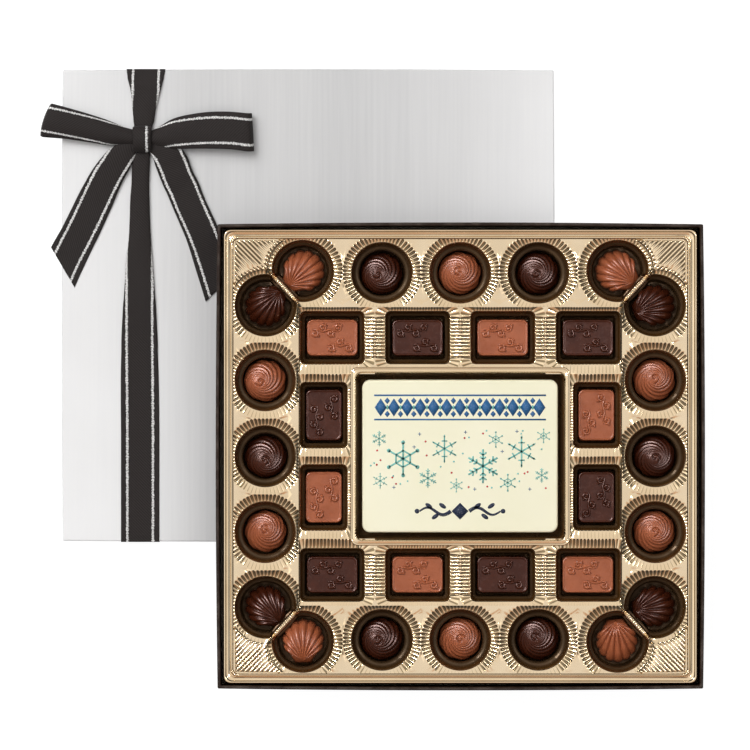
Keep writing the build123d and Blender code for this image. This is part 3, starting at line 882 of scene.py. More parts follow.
def insert_pieces():
    """All the pieces of the pressed insert: the tiles meet edge to edge, so only the others have rims."""
    def pressed(name, node, form, material, rim):
        piece = finished(
            f"insert_{name}", form, DECK_ORIGIN, material, "insert", [f"insert_{node}"], "gold_foil",
        )
        thickened(piece, FOIL, rim=rim)

    def tiles(node, groups):
        for side, form in groups.items():
            pressed(f"{node}_{side}", node, form, GOLD, False)

    tiles("round_pockets", round_tile_groups())
    tiles("shell_pockets", shell_tile_groups())
    pressed("shell_bridges", "shell_pockets", bridge_strips(), GOLD_BRIDGE, True)
    tiles("block_pockets", block_tile_groups())
    pressed("border", "rim", insert_border(), GOLD, True)
    pressed("frame_and_well", "centre_well", centre_well_form(), GOLD, True)


# Chocolates

SWIRL_RIDGES = 8
SWIRL_RIDGE_STEPS = 14
# How far the ridges lean from straight inwards: the tangent of the lean
SWIRL_LEAN = 2.7
SWIRL_EYE = 1.7
SWIRL_WIND = 1.3
SWIRL_SKEW = 0.6
SWIRL_ROUND = 0.75
# The row where the swirl is widest; its ridges stand upright below it
SWIRL_WIDEST = 6
# Height, radius and depth of the valleys, from the middle of the foot to the tip
SWIRL_ROWS = (
    (0.0, 0.0, 0.0), (0.0, 6.0, 0.1), (0.0, 9.6, 0.3), (0.3, 10.4, 0.6), (1.0, 11.0, 1.3), (2.2, 11.5, 1.8),
    (3.4, 11.7, 2.0), (4.8, 11.55, 2.0), (6.3, 11.0, 1.9), (7.8, 10.2, 1.8), (9.2, 9.2, 1.6),
    (10.4, 8.1, 1.4), (11.4, 7.0, 1.3), (12.2, 6.1, 1.1), (12.8, 5.2, 0.85), (13.2, 4.3, 0.55),
    (13.45, 3.4, 0.3), (13.6, 2.6, 0.1), (13.7, 1.8, 0.0), (13.75, 0.9, 0.0), (13.75, 0.0, 0.0),
)
SWIRL_SMOOTHING = 3
# The groove of the curl: from where up the side, its radius from start to end, width and depth
CURL_FROM = 0.3
CURL_START = 0.4
CURL_END = 2.9
CURL_WIDTH = 0.42
CURL_DEPTH = 0.95
# How late the tip bends to its side
TIP_BEND = 1.6
# How far each swirl's tip stands off its middle, in millimetres: to the right and to the back
SWIRL_TIPS = (
    (-2.4, -1.0), (-0.9, 0.3), (-1.0, 0.0), (-2.9, -0.7), (0.0, 1.4), (-0.3, -2.0), (0.3, -0.9), (0.0, 1.0),
    (0.0, 0.5), (-2.4, 0.0), (0.3, 0.0), (-1.7, 0.9),
)


def swirl_form(turn, scale, tip):
    """A piped rosette: its ridges wind inwards as they rise to a small curl, off its middle."""
    columns = SWIRL_RIDGES * SWIRL_RIDGE_STEPS
    rows = (len(SWIRL_ROWS) - 1) * SWIRL_SMOOTHING
    top = SWIRL_ROWS[-1][0]

    def ridge(column, radius, z):
        wind = 0.0
        if z > SWIRL_ROWS[SWIRL_WIDEST - 1][0]:
            wind = SWIRL_LEAN * math.log(SWIRL_ROWS[SWIRL_WIDEST][1] / max(radius, SWIRL_EYE))
        turns = column / columns + (wind + SWIRL_WIND * z / top) / (2 * math.pi)
        return math.sin(math.pi * ((SWIRL_RIDGES * turns) % 1.0) ** SWIRL_SKEW) ** SWIRL_ROUND

    def groove(column, radius):
        arm = CURL_START + (CURL_END - CURL_START) * ((-column / columns) % 1.0)
        inner = math.exp(-((radius - arm + CURL_END - CURL_START) / CURL_WIDTH) ** 2)
        return math.exp(-((radius - arm) / CURL_WIDTH) ** 2) + 0.5 * inner

    def place(column, row):
        share = row / rows
        z, radius, valley = blend_rows(SWIRL_ROWS, share)
        before = blend_rows(SWIRL_ROWS, max(0.0, share - 0.01))
        after = blend_rows(SWIRL_ROWS, min(1.0, share + 0.01))
        along = Vector((after[1] - before[1], after[0] - before[0]))
        along = along.normalized() if along.length > 1e-6 else Vector((-1, 0))
        depth = valley * (1 - ridge(column, radius, z))
        out = max(0.0, radius - along.y * depth) if 0 < row < rows else 0.0
        if share > CURL_FROM:
            z -= CURL_DEPTH * groove(column, radius)
        z += along.x * depth
        heading = 2 * math.pi * column / columns + math.radians(turn)
        shift = Vector(tip) * max(0.0, z / top) ** TIP_BEND
        x, y = out * math.cos(heading) + shift.x, out * math.sin(heading) + shift.y
        return Vector((x, y, max(z, 0.0))) * scale

    # How deep in the valleys between ridges and in the curl's groove each point lies: the chocolate paints
    # shade there
    def fold(column, row):
        z, radius, valley = blend_rows(SWIRL_ROWS, row / rows)
        curled = 0.6 * groove(column, radius) if z > top / 2 else 0
        return min(1.0, valley * (1 - ridge(column, radius, z)) ** 2 + curled)

    return formed_grid(columns, rows, place, fold)


SHELL_RIBS = 9
SHELL_SWEEP = 128.0
SHELL_MIDDLE = 12.0
# Where the fan's middle is, and its radius
SHELL_FAN = (12.4, 10.75 * 1.07)
SHELL_ROUND = 0.55
# Points round the outline: the fan, each straight side from it to the hinge, and the hinge
SHELL_FAN_STEPS = SHELL_RIBS * 10
SHELL_EAR_STEPS = 8
SHELL_HINGE_STEPS = 6
SHELL_HINGE = 4.4
# The outline's size and height in steps up its side, and the depth of the valleys there
SHELL_SIDE_ROWS = ((0.93, 0.0, 0.3), (0.985, 0.35, 0.7), (1.0, 1.4, 1.0), (0.99, 3.2, 1.15))
# How far from the hinge the top's rows lie, from the rim inwards, as shares
SHELL_TOP_ROWS = (0.975, 0.95, 0.91, 0.86, 0.8, 0.72, 0.63, 0.53, 0.43, 0.33, 0.23, 0.14, 0.07, 0.0)
SHELL_POLE = 1.3
SHELL_DOME = (9.0, 10.2, 15.8, 13.2)
SHELL_LOW = 2.4
SHELL_RISE = 9.8
SHELL_VALLEY = 1.7
SHELL_EDGE_VALLEY = 1.15
SHELL_TOP_SIZE = 0.98
SHELL_FOOT = 0.93
SHELL_FOOT_ROWS = 2


def shell_outline(column, size, valley):
    """A point of the scallop's outline, a fan from its hinge with valleys cut in, and its rib's height."""
    centre, radius = SHELL_FAN
    sweep = math.radians(SHELL_SWEEP)

    def rim(part):
        angle = sweep * (2 * part - 1)
        ridge = abs(math.sin(math.pi * SHELL_RIBS * part)) ** SHELL_ROUND
        out = radius - valley * (1 - ridge)
        return Vector((centre + out * math.cos(angle), out * math.sin(angle))), ridge

    ridge = 0.0
    upper, lower = Vector((0, SHELL_HINGE)), Vector((0, -SHELL_HINGE))
    beyond = column - SHELL_FAN_STEPS
    if beyond <= 0:
        point, ridge = rim(column / SHELL_FAN_STEPS)
    elif beyond <= SHELL_EAR_STEPS:
        point = rim(1.0)[0].lerp(upper, beyond / SHELL_EAR_STEPS)
    elif beyond <= SHELL_EAR_STEPS + SHELL_HINGE_STEPS:
        point = upper.lerp(lower, (beyond - SHELL_EAR_STEPS) / SHELL_HINGE_STEPS)
    else:
        point = lower.lerp(rim(0.0)[0], (beyond - SHELL_EAR_STEPS - SHELL_HINGE_STEPS) / SHELL_EAR_STEPS)
    return Vector((SHELL_MIDDLE, 0)).lerp(point, size), ridge


def shell_height(point):
    """The scallop's domed top."""
    peak, near, far, wide = SHELL_DOME
    length = near if point.x < peak else far
    inside = 1 - ((point.x - peak) / length) ** 2 - (point.y / wide) ** 2
    return SHELL_LOW + SHELL_RISE * math.sqrt(max(0.0, inside))


def shell_form():
    """A scallop that opens along +X, its ribs running to its hinge, set about its own middle."""
    columns = SHELL_FAN_STEPS + 2 * SHELL_EAR_STEPS + SHELL_HINGE_STEPS
    top_start = SHELL_FOOT_ROWS + len(SHELL_SIDE_ROWS)

    def place(column, row):
        column = column % columns
        if row < SHELL_FOOT_ROWS:
            point, ridge = shell_outline(column, SHELL_FOOT * row, SHELL_SIDE_ROWS[0][2])
            share = 0.6 if row else 1.0
            return Vector((share * (point.x - SHELL_MIDDLE), share * point.y, 0))
        if row < top_start:
            size, z, valley = SHELL_SIDE_ROWS[row - SHELL_FOOT_ROWS]
            point, ridge = shell_outline(column, size, valley)
            return Vector((point.x - SHELL_MIDDLE, point.y, z))
        out = SHELL_TOP_ROWS[row - top_start]
        point, ridge = shell_outline(column, SHELL_TOP_SIZE, SHELL_EDGE_VALLEY)
        spot = Vector((SHELL_POLE, 0)).lerp(point, out)
        height = shell_height(spot) * (1 - max(0.0, (out - 0.78) / 0.22) ** 2 * 0.2)
        valley = SHELL_VALLEY * (1 if column <= SHELL_FAN_STEPS else 0.3)
        height -= valley * (1 - ridge) * smooth_step(out / 0.45)
        return Vector((spot.x - SHELL_MIDDLE, spot.y, height))

    # How deep in a valley between ribs each point lies: the chocolate paints shade there
    def fold(column, row):
        point, ridge = shell_outline(column % columns, 1.0, SHELL_EDGE_VALLEY)
        return 0.5 * (1 - ridge) ** 2 if row > SHELL_FOOT_ROWS else 0.0

    return formed_grid(columns, top_start + len(SHELL_TOP_ROWS) - 1, place, fold)


BLOCK_HALF = (14.25, 10.25)
# How far in, corner radius and height, from the foot to the sunk panel
BLOCK_ROWS = (
    (0.7, 2.7, 0.0), (0.25, 3.1, 0.15), (0.0, 3.2, 0.6), (0.25, 3.1, 4.0), (0.45, 3.0, 7.4),
    (0.5, 2.95, 7.9), (0.62, 2.85, 8.25), (0.82, 2.7, 8.43), (1.05, 2.5, 8.5), (1.25, 2.4, 8.5),
    (1.42, 2.3, 8.4), (1.6, 2.2, 8.22), (1.85, 2.1, 8.18), (2.6, 1.9, 8.18), (7.0, 1.5, 8.2),
)
# The relief's lines: their radius, how much higher they are than a half round, and points round them
SCROLL_RADIUS = 0.85
RELIEF = 1.2
LINE_POINTS = 8
# The vines' stem waves by this much; their curls lie this far from it, open this wide, turn and close
STEM_WAVE = 0.45
CURL_AWAY = 1.7
CURL_OUT = 1.95
CURL_TURN = 470
CURL_CLOSE = 0.72
BUD_PLACE = (1.5, 0.9)
BUD_LENGTH = 0.9


def tapered_line(line, samples, radius, height):
    """A rounded line of relief that thins to nothing at both ends."""
    def place(column, row):
        share = row / samples
        here = line(share)
        along = (line(min(1.0, share + 0.01)) - line(max(0.0, share - 0.01))).normalized()
        size = radius * max(0.0, math.sin(math.pi * share)) ** 0.45
        angle = 2 * math.pi * column / LINE_POINTS
        sideways = Vector((-along.y, along.x)) * size * math.cos(angle)
        return Vector((here.x + sideways.x, here.y + sideways.y, height + size * RELIEF * math.sin(angle)))

    return formed_grid(LINE_POINTS, samples, place)


def vine_lines(start, end, level, curls):
    """A generic vine in relief: a wavy stem with curls that open above and below it in turn, and buds."""
    def stem(share):
        return Vector((start + (end - start) * share, level + STEM_WAVE * math.sin(math.pi * curls * share)))

    def curl(middle, way, share):
        angle = math.radians(way * (CURL_TURN * share - 90))
        return middle + CURL_OUT * (1 - CURL_CLOSE * share) * Vector((math.cos(angle), math.sin(angle)))

    def bud(middle, way, share):
        return middle + Vector((BUD_PLACE[0] + BUD_LENGTH * share, way * (BUD_PLACE[1] + BUD_LENGTH * share)))

    lines = [(stem, 8 * curls, SCROLL_RADIUS * 0.8)]
    for index in range(curls):
        way = 1 if index % 2 else -1
        middle = Vector((start + (end - start) * (index + 0.5) / curls, level + way * CURL_AWAY))
        lines.append((partial(curl, middle, way), 22, SCROLL_RADIUS))
        lines.append((partial(bud, middle, way), 5, SCROLL_RADIUS * 1.1))
    return lines


def block_form(turn):
    """A moulded block with a thin raised edge and generic vines in relief."""
    block = slab(BLOCK_HALF, BLOCK_ROWS, 10, 6, (0.0, 0.6))
    panel = BLOCK_ROWS[-1][2]
    for line, samples, radius in vine_lines(-11.6, 5.2, 3.9, 4) + vine_lines(-3.0, 11.0, -4.1, 3):
        gather(block, tapered_line(line, samples, radius, panel))
    return turned(block, turn)


DARK_PIECES = {
    "swirl": (1, 3, 6, 7, 10, 12),
    "block": (2, 4, 5, 8, 9, 11),
    "shell": (3, 4, 5, 6),
}
# How far a chocolate's foot stays off the sheet it stands on
FOOT_GAP = 0.05 * MM
# The way that each shell's fan opens, in degrees from +X, and which pocket of which corner it is in
SHELL_PLACES = (
    (SHELL_END, -1, 1, 45), (SHELL_END, 1, 1, 145), (SHELL_SIDE, -1, 1, 225), (SHELL_SIDE, 1, 1, 20),
    (SHELL_SIDE, -1, -1, 135), (SHELL_SIDE, 1, -1, 10), (SHELL_END, -1, -1, 90), (SHELL_END, 1, -1, -85),
)


def chocolates(glossy):
    """Swirls, blocks and shells, each in its pocket; the collection glossy gets them all."""
    def stood(kind, number, look, form, spot):
        """One chocolate on the floor of its pocket."""
        node = f"{kind}_{number:02d}"
        spot.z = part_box(node)[0].z + FOOT_GAP
        finish = (DARK, "dark_chocolate") if number in DARK_PIECES[kind] else (MILK, "milk_chocolate")
        piece = finished(f"{node}_{look}", form, spot, finish[0], f"{node}_body", [node], finish[1])
        glossy.objects.link(piece)
        return piece

    dice = random.Random(41)
    for number, tip in enumerate(SWIRL_TIPS, 1):
        form = swirl_form(dice.uniform(0, 360), dice.uniform(0.975, 1.0), tip)
        stood("swirl", number, "piped", form, middle_of(f"swirl_{number:02d}"))
    for number in range(1, 13):
        spot = middle_of(f"block_{number:02d}")
        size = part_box(f"block_{number:02d}")[1] - spot
        turn = math.copysign(90, BASE_ORIGIN.x - spot.x) if size.y > size.x else 0
        crisp(stood("block", number, "moulded", block_form(turn), spot))
    for number, (pocket, side_x, side_y, heading) in enumerate(SHELL_PLACES, 1):
        spot = DECK_ORIGIN + Vector((pocket[0] * side_x, pocket[1] * side_y, 0)) * MM
        stood("shell", number, "scallop", turned(shell_form(), heading), spot)


BAR_HALF = (53.35, 41.65)
BAR_ROWS = (
    (0.8, 3.8, 0.0), (0.25, 4.3, 0.12), (0.0, 4.4, 0.6), (0.05, 4.4, 5.6), (0.1, 4.35, 6.5), (0.3, 4.2, 7.1),
    (0.65, 4.0, 7.4), (1.15, 3.7, 7.5), (2.2, 3.2, 7.5), (12.0, 2.6, 7.5),
)
BAR_TOP = 7.5
# How far the bar has slid in its well, from the middle
BAR_SHIFT = Vector((0.8, -0.8, 0)) * MM
INK = 0.05


def bar_form():
    """The large flat bar, with softly rounded edges."""
    return slab(BAR_HALF, BAR_ROWS, 16, 8, (0.0,))


def printed(target, create, centre, turn, stretch, **form):
    """Adds one flat printed form, as thick as the ink, at a place in plan."""
    part = bmesh.new()
    place = Matrix.Translation((centre[0], centre[1], BAR_TOP + INK / 2)) @ Matrix.Rotation(turn, 4, "Z")
    create(part, matrix=place @ Matrix.Diagonal((*stretch, 1)), **form)
    gather(target, part)


def flat_shape(target, sides, radius, centre, turn=0.0, stretch=1.0):
    """A flat printed shape with some sides, such as a dot or a diamond."""
    printed(
        target, bmesh.ops.create_cone, centre, math.radians(turn), (1, stretch, 1),
        cap_ends=True, segments=sides, radius1=radius, radius2=radius, depth=INK,
    )


def flat_bar(target, start, end, width):
    """A flat printed stroke from one point to another."""
    along = Vector(end) - Vector(start)
    middle = ((start[0] + end[0]) / 2, (start[1] + end[1]) / 2)
    turn = math.atan2(along.y, along.x)
    printed(target, bmesh.ops.create_cube, middle, turn, (along.length, width, INK), size=1)


# Widths of a crystal's arms and twigs, as shares of its size
ARM_WIDTH = 0.11
TWIG_WIDTH = 0.095


def crystal(target, centre, size, kind):
    """A six-armed ice crystal, in one of three plain designs."""
    for arm in range(6):
        angle = math.radians(60 * arm + 30)
        way = Vector((math.cos(angle), math.sin(angle)))
        side = Vector((-way.y, way.x))
        middle = Vector(centre)
        flat_bar(target, middle, middle + way * size, size * ARM_WIDTH)
        if kind == "branched":
            for share, length in ((0.42, 0.22), (0.66, 0.26)):
                root = middle + way * size * share
                for hand in (-1, 1):
                    twig = root + (way * 0.6 + side * hand * 0.8) * size * length
                    flat_bar(target, root, twig, size * TWIG_WIDTH)
        elif kind == "tipped":
            flat_shape(target, 4, size * 0.13, middle + way * size * 0.98, math.degrees(angle), 0.6)
            root = middle + way * size * 0.6
            flat_bar(target, root - side * size * 0.22, root + side * size * 0.22, size * TWIG_WIDTH)
        else:
            next_angle = math.radians(60 * (arm + 1) + 30)
            next_way = Vector((math.cos(next_angle), math.sin(next_angle)))
            flat_bar(target, middle + way * size * 0.5, middle + next_way * size * 0.5, size * 0.1)
            flat_shape(target, 12, size * 0.12, middle + way * size)


# The band of diamonds: from one to the next, its middle and end, and how far off its middle its strokes and
# small diamonds lie
BAND_STEP = 7.2
BAND_LEVEL = 26.5
BAND_END = 6.5 * BAND_STEP
BAND_HALF = 6.6
BAND_SMALL = 3.6
# The flourish: its middle, where its stems start, how long they are, how far they wave, and strokes in each
FLOURISH_LEVEL = -30.0
FLOURISH_START = 5.0
FLOURISH_LENGTH = 17.0
FLOURISH_WAVE = 2.0
FLOURISH_STROKES = 24
# Half length and width of a cross's strokes
CROSS_HALF = 0.9
CROSS_STROKE = 0.35
CROSSES = ((-22, 12), (3, 13), (31, 13.5), (-36, -17), (8, -18), (38, -18), (-25, 5), (23, 2.5))
CRYSTALS = (
    ((-31.0, -1.5), 9.0, "ringed"), ((-8.5, 4.0), 7.0, "tipped"), ((12.5, -5.5), 9.2, "branched"),
    ((33.5, 2.5), 8.0, "tipped"), ((-17.5, -12.0), 5.2, "branched"), ((-43.5, -13.5), 4.0, "tipped"),
    ((26.0, -14.5), 4.4, "ringed"), ((44.5, -10.5), 4.0, "branched"), ((-44.0, 9.5), 4.2, "branched"),
    ((19.5, 9.0), 4.0, "ringed"), ((45.5, 11.0), 3.6, "ringed"), ((-2.0, -16.0), 3.4, "ringed"),
)


def bar_print():
    """The generic print on the bar: a band of diamonds, ice crystals, dots, crosses and a plain flourish."""
    inks = {name: bmesh.new() for name in ("blue", "teal", "red", "ink")}
    for index in range(-6, 7):
        flat_shape(inks["blue"], 4, 3.3, (index * BAND_STEP, BAND_LEVEL), 0, 1.5)
    for index in range(-6, 6):
        x = (index + 0.5) * BAND_STEP
        for y in (BAND_LEVEL + BAND_SMALL, BAND_LEVEL - BAND_SMALL):
            flat_shape(inks["blue"], 4, 1.5, (x, y), 0, 1.2)
        flat_shape(inks["teal"], 4, 1.3, (x, BAND_LEVEL))
    for y in (BAND_LEVEL + BAND_HALF, BAND_LEVEL - BAND_HALF):
        flat_bar(inks["blue"], (-BAND_END, y), (BAND_END, y), 0.9)
    for centre, size, kind in CRYSTALS:
        crystal(inks["teal"], centre, size, kind)
    dice = random.Random(7)
    for name, count, size in (("red", 15, 0.55), ("teal", 16, 0.5)):
        placed = 0
        while placed < count:
            spot = (dice.uniform(-49, 49), dice.uniform(-19, 14))
            if all(math.dist(spot, centre) > reach + 1.6 for centre, reach, kind in CRYSTALS):
                flat_shape(inks[name], 12, size, spot)
                placed += 1
    for x, y in CROSSES:
        flat_bar(inks["blue"], (x - CROSS_HALF, y), (x + CROSS_HALF, y), CROSS_STROKE)
        flat_bar(inks["blue"], (x, y - CROSS_HALF), (x, y + CROSS_HALF), CROSS_STROKE)
    for side in (-1, 1):
        spots = []
        for index in range(FLOURISH_STROKES + 1):
            share = index / FLOURISH_STROKES
            wave = side * FLOURISH_WAVE * math.sin(2 * math.pi * share)
            spots.append((side * (FLOURISH_START + FLOURISH_LENGTH * share), FLOURISH_LEVEL + wave))
        for index, (start, end) in enumerate(zip(spots, spots[1:])):
            flat_bar(inks["ink"], start, end, 2.1 - 1.2 * index / FLOURISH_STROKES)
        for leaf, way in ((9.5, 1), (13.5, -1), (17.0, 1)):
            flat_shape(inks["ink"], 16, 2.2, (side * leaf, FLOURISH_LEVEL + way * 2.9), 35 * side * way, 0.5)
        flat_shape(inks["ink"], 16, 1.3, (side * 23.4, FLOURISH_LEVEL))
    flat_shape(inks["ink"], 4, 4.6, (0, FLOURISH_LEVEL))
    return inks


def printed_bar():
    """The centre bar and its print."""
    spot = middle_of("centre_bar") + BAR_SHIFT
    spot.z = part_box("centre_bar")[0].z
    on_bar = ("centre_bar_body", ["centre_bar"], "printed_bar")
    crisp(finished("centre_bar_cream", bar_form(), spot, CREAM, *on_bar))
    for name, form in bar_print().items():
        finished(f"centre_bar_print_{name}", form, spot, PRINTS[name], *on_bar)


# Ribbon and bow. A station is the left and right edge of what shows, with a height above the lid each.

ROLL_RADIUS = 0.85
# How much a curled ribbon's depth is flattened, and the radius above which it is flattened more
CURL_FLATTEN = 0.75
CURL_RADIUS = 4.0


def across_rolled(side, shown, width):
    """How far out and how deep a point of the ribbon lies where its spare width is rolled under."""
    half = shown / 2
    spare = width / 2 - half
    roll = min(ROLL_RADIUS, spare / (math.pi - 1)) if spare > 0.01 else 0.0
    out = abs(side)
    flat = half - roll
    if out <= flat or roll == 0.0:
        return min(out, half), 0.0, 2 * roll
    if out <= flat + math.pi * roll:
        angle = (out - flat) / roll
        return flat + roll * math.sin(angle), roll * (1 - math.cos(angle)), 2 * roll
    return flat - (out - flat - math.pi * roll), 2 * roll, 2 * roll


def across_curled(side, shown, width):
    """How far out and how deep a point of the ribbon lies where its width curls into a shallow gutter."""
    ratio = min(0.999, shown / width)
    if ratio > 2 / math.pi:
        bend = math.sqrt(6 * (1 - ratio))
        for step in range(6):
            bend -= (math.sin(bend) - ratio * bend) / (math.cos(bend) - ratio)
    else:
        bend = 1 / ratio
    radius = width / 2 / max(bend, 0.05)
    angle = abs(side) / radius
    flatten = CURL_FLATTEN * min(1.0, CURL_RADIUS / radius)
    return radius * math.sin(angle), flatten * radius * (1 - math.cos(angle)), 0.0


ACROSS_STEPS = 32


def ribbon_strip(name, stations, node, across, cut=None, steps=8, width=RIBBON_WIDTH, offset=0.0):
    """A strip of ribbon through stations, where across says how its spare width is put away.

    A station is (left x, left y, left z, right x, right y, right z, crown) in millimetres from the lid's
    centre, heights from the table. A cut is a line in plan. Offset moves the stripes across the strip.
    """
    rows = (len(stations) - 1) * steps
    frames = []
    for row in range(rows + 1):
        values = blend_rows(stations, row / rows)
        frames.append((Vector(values[0:3]), Vector(values[3:6]), values[6]))
    middles = [(left + right) / 2 for left, right, crown in frames]
    runs = [0.0]
    for start, end in zip(middles, middles[1:]):
        runs.append(runs[-1] + (end - start).length)

    def place(column, row):
        left, right, crown = frames[row]
        ahead = middles[min(row + 1, rows)] - middles[max(row - 1, 0)]
        way = right - left
        shown = min(way.length, width)
        way.normalize()
        up = way.cross(ahead).normalized()
        side = (column / ACROSS_STEPS - 0.5) * width
        out, depth, lift = across(side, shown, width)
        rise = crown * (1 - (2 * out / shown) ** 2) if depth == 0.0 or across is across_curled else 0.0
        return middles[row] + way * math.copysign(out, side) + up * (lift + rise - depth)

    bm = bmesh.new()
    bmesh.ops.create_grid(bm, x_segments=ACROSS_STEPS, y_segments=rows, size=0.5)
    layer = bm.loops.layers.uv.new("length")
    bm.verts.index_update()
    marks = {}
    for vert in bm.verts:
        column = round((vert.co.x + 0.5) * ACROSS_STEPS)
        row = round((vert.co.y + 0.5) * rows)
        vert.co = place(column, row)
        side = (column / ACROSS_STEPS - 0.5) * width + offset
        marks[vert.index] = (side / RIBBON_WIDTH + 0.5, runs[row] / RIBBON_WIDTH)
    for face in bm.faces:
        for loop in face.loops:
            loop[layer].uv = marks[loop.vert.index]
    if cut:
        start, end = Vector((cut[0], cut[1], 0)), Vector((cut[2], cut[3], 0))
        line = end - start
        normal = Vector((line.y, -line.x, 0))
        if normal.dot(middles[-1] - start) < 0:
            normal.negate()
        bmesh.ops.bisect_plane(
            bm, geom=list(bm.verts) + list(bm.edges) + list(bm.faces), plane_co=start, plane_no=normal,
            clear_inner=True,
        )
    length = sum(face.calc_area() for face in bm.faces) / width
    piece = finished(name, bm, LID_ORIGIN, RIBBON_FABRIC, "lid", [node], "ribbon")
    thickened(piece, RIBBON_THICK, 0)
    return piece


# How far the ribbon lies off the paper, and how far it hangs off the lid's bowed walls
SKIN = 0.25
WALL_GAP = SKIN + LID_SIZE[3] * 0.42
LID_HALF = LID_SIZE[1] / 2
# The band over the lid, from front to back: Y, left and right edge, lift and crown
BAND_ROUTE = (
    (-LID_HALF + TRAY_EDGE, -102.7, -81.6, 0, 0), (-LID_HALF + 12, -102.7, -81.6, 0, 0),
    (-98.0, -102.7, -81.6, 0, 0), (-68.3, -102.7, -81.6, 0, 0.2), (-35.4, -102.7, -82.1, 0, 0.3),
    (-8.0, -101.8, -83.2, 0, 0.5), (8.5, -100.6, -84.3, 0, 0.6), (24.9, -99.6, -85.4, 0, 0.6),
    (35.9, -98.3, -86.2, 0.1, 0.7), (46.9, -97.7, -86.8, 0.2, 0.7), (57.9, -97.4, -87.1, 0.3, 0.7),
    (66.1, -96.7, -87.3, 0.4, 0.7), (77.1, -96.4, -86.9, 0.5, 0.7), (86.0, -95.8, -86.6, 0.4, 0.7),
    (96.3, -95.2, -85.9, 0.4, 0.7), (101.8, -95.6, -84.4, 0.5, 0.7), (107.2, -96.1, -83.6, 0.3, 0.6),
    (112.7, -96.5, -82.4, 0.1, 0.4), (118.2, -97.2, -81.0, 0, 0.2), (124.0, -98.7, -79.5, 0, 0),
    (LID_HALF - TRAY_EDGE, -99.5, -78.4, 0, 0),
)
# The tails, from their ends to the knot: left edge, right edge, lift and crown
LEFT_TAIL = (
    (-148.2, 16.7, -129.5, 6.3, 0, 0), (-141.1, 31.9, -123.0, 21.1, 0, 0),
    (-132.8, 46.6, -115.3, 37.6, 0, 0.2), (-124.6, 63.1, -107.6, 54.6, 0.1, 0.4),
    (-118.8, 73.2, -102.4, 66.8, 0.4, 0.6), (-113.6, 80.4, -97.2, 76.5, 1.0, 0.8),
    (-107.1, 86.9, -94.4, 83.1, 1.8, 0.8), (-98.8, 91.9, -92.8, 86.9, 2.6, 0.6),
)
RIGHT_TAIL = (
    (-56.0, 1.4, -36.8, 7.4, 0, 0), (-61.5, 20.0, -42.9, 26.0, 0, 0), (-66.4, 35.4, -48.9, 41.4, 0, 0.1),
    (-73.0, 51.3, -56.3, 57.3, 0.2, 0.4), (-76.8, 60.4, -60.2, 67.4, 0.5, 0.5),
    (-79.6, 66.6, -63.6, 74.0, 1.4, 0.3), (-82.9, 74.9, -66.4, 81.6, 1.7, 0.9),
    (-85.4, 82.0, -71.9, 88.2, 2.3, 0.9), (-88.4, 86.9, -82.4, 91.9, 2.8, 0.6),
)
# Where the tails' ends are cut off on the slant: the cut's two points
LEFT_CUT = (-127.8, 9.3, -141.1, 31.9)
RIGHT_CUT = (-56.4, 1.9, -50.8, 7.4)
# Heights of a loop's lower and upper layer. Each part of a loop has its height, its crown and its edges: left
# X, Y and rise, right X, Y and rise, from the knot out along the lower layer, round the fold and back on top
LOOP_LOW = LID_TOP + 1.1
LOOP_HIGH = LID_TOP + 7.8
LOOP_FOLD = LOOP_HIGH - LOOP_LOW - 1.3
LEFT_LOOP = (
    (LOOP_LOW, 0.4, (
        (-91.0, 94.2, 0.5, -91.5, 88.5, 0.5), (-101.0, 96.0, 0.3, -102.7, 89.0, 0.3),
        (-114.9, 101.0, 0, -118.0, 90.0, 0), (-127.9, 105.8, 0, -131.7, 91.3, 0),
    )),
    (LOOP_LOW, 0.0, (
        (-139.3, 109.6, 0, -144.8, 92.3, 0), (-141.3, 110.3, 1.3, -147.0, 93.0, 1.3),
        (-141.9, 110.6, 3.3, -147.6, 93.4, 3.3), (-141.3, 110.6, LOOP_FOLD, -147.0, 93.3, LOOP_FOLD),
    )),
    (LOOP_HIGH, 0.5, (
        (-139.3, 110.2, 0, -144.8, 92.9, 0), (-127.9, 107.0, 0.3, -131.7, 91.1, -0.1),
        (-114.7, 102.9, 0.1, -118.0, 89.1, -0.4), (-107.1, 100.1, -0.4, -109.8, 87.8, -0.9),
        (-100.5, 97.4, -0.9, -102.7, 88.0, -1.4), (-93.9, 95.7, -1.6, -95.0, 87.5, -1.8),
        (-90.0, 95.2, -2.0, -90.5, 87.5, -2.2),
    )),
)
RIGHT_LOOP = (
    (LOOP_LOW, 0.4, (
        (-90.0, 88.5, 0.5, -90.0, 94.2, 0.5), (-80.5, 88.0, 0.3, -80.9, 96.0, 0.3),
        (-68.6, 87.2, 0, -69.2, 101.5, 0), (-56.0, 86.6, 0, -56.6, 104.2, 0),
        (-42.9, 86.0, 0, -44.0, 104.8, 0),
    )),
    (LOOP_LOW, 0.0, (
        (-33.0, 85.0, 0, -34.0, 104.8, 0), (-30.5, 84.8, 1.3, -31.6, 105.0, 1.3),
        (-29.6, 84.5, 3.3, -30.8, 105.2, 3.3), (-30.5, 84.3, LOOP_FOLD, -31.5, 105.2, LOOP_FOLD),
    )),
    (LOOP_HIGH, 0.5, (
        (-33.0, 84.2, 0, -34.0, 105.2, 0), (-42.9, 85.4, 0, -44.0, 106.0, 0.1),
        (-56.0, 85.8, -0.1, -56.6, 105.6, 0.1), (-68.6, 85.7, -0.5, -69.2, 103.5, -0.1),
        (-75.2, 85.8, -0.9, -75.8, 101.2, -0.5), (-80.2, 86.1, -1.4, -81.3, 97.9, -1.0),
        (-87.3, 87.5, -1.9, -87.3, 95.2, -1.7), (-91.0, 87.5, -2.2, -91.0, 95.2, -2.0),
    )),
)
KNOT_WIDTH = 12.0
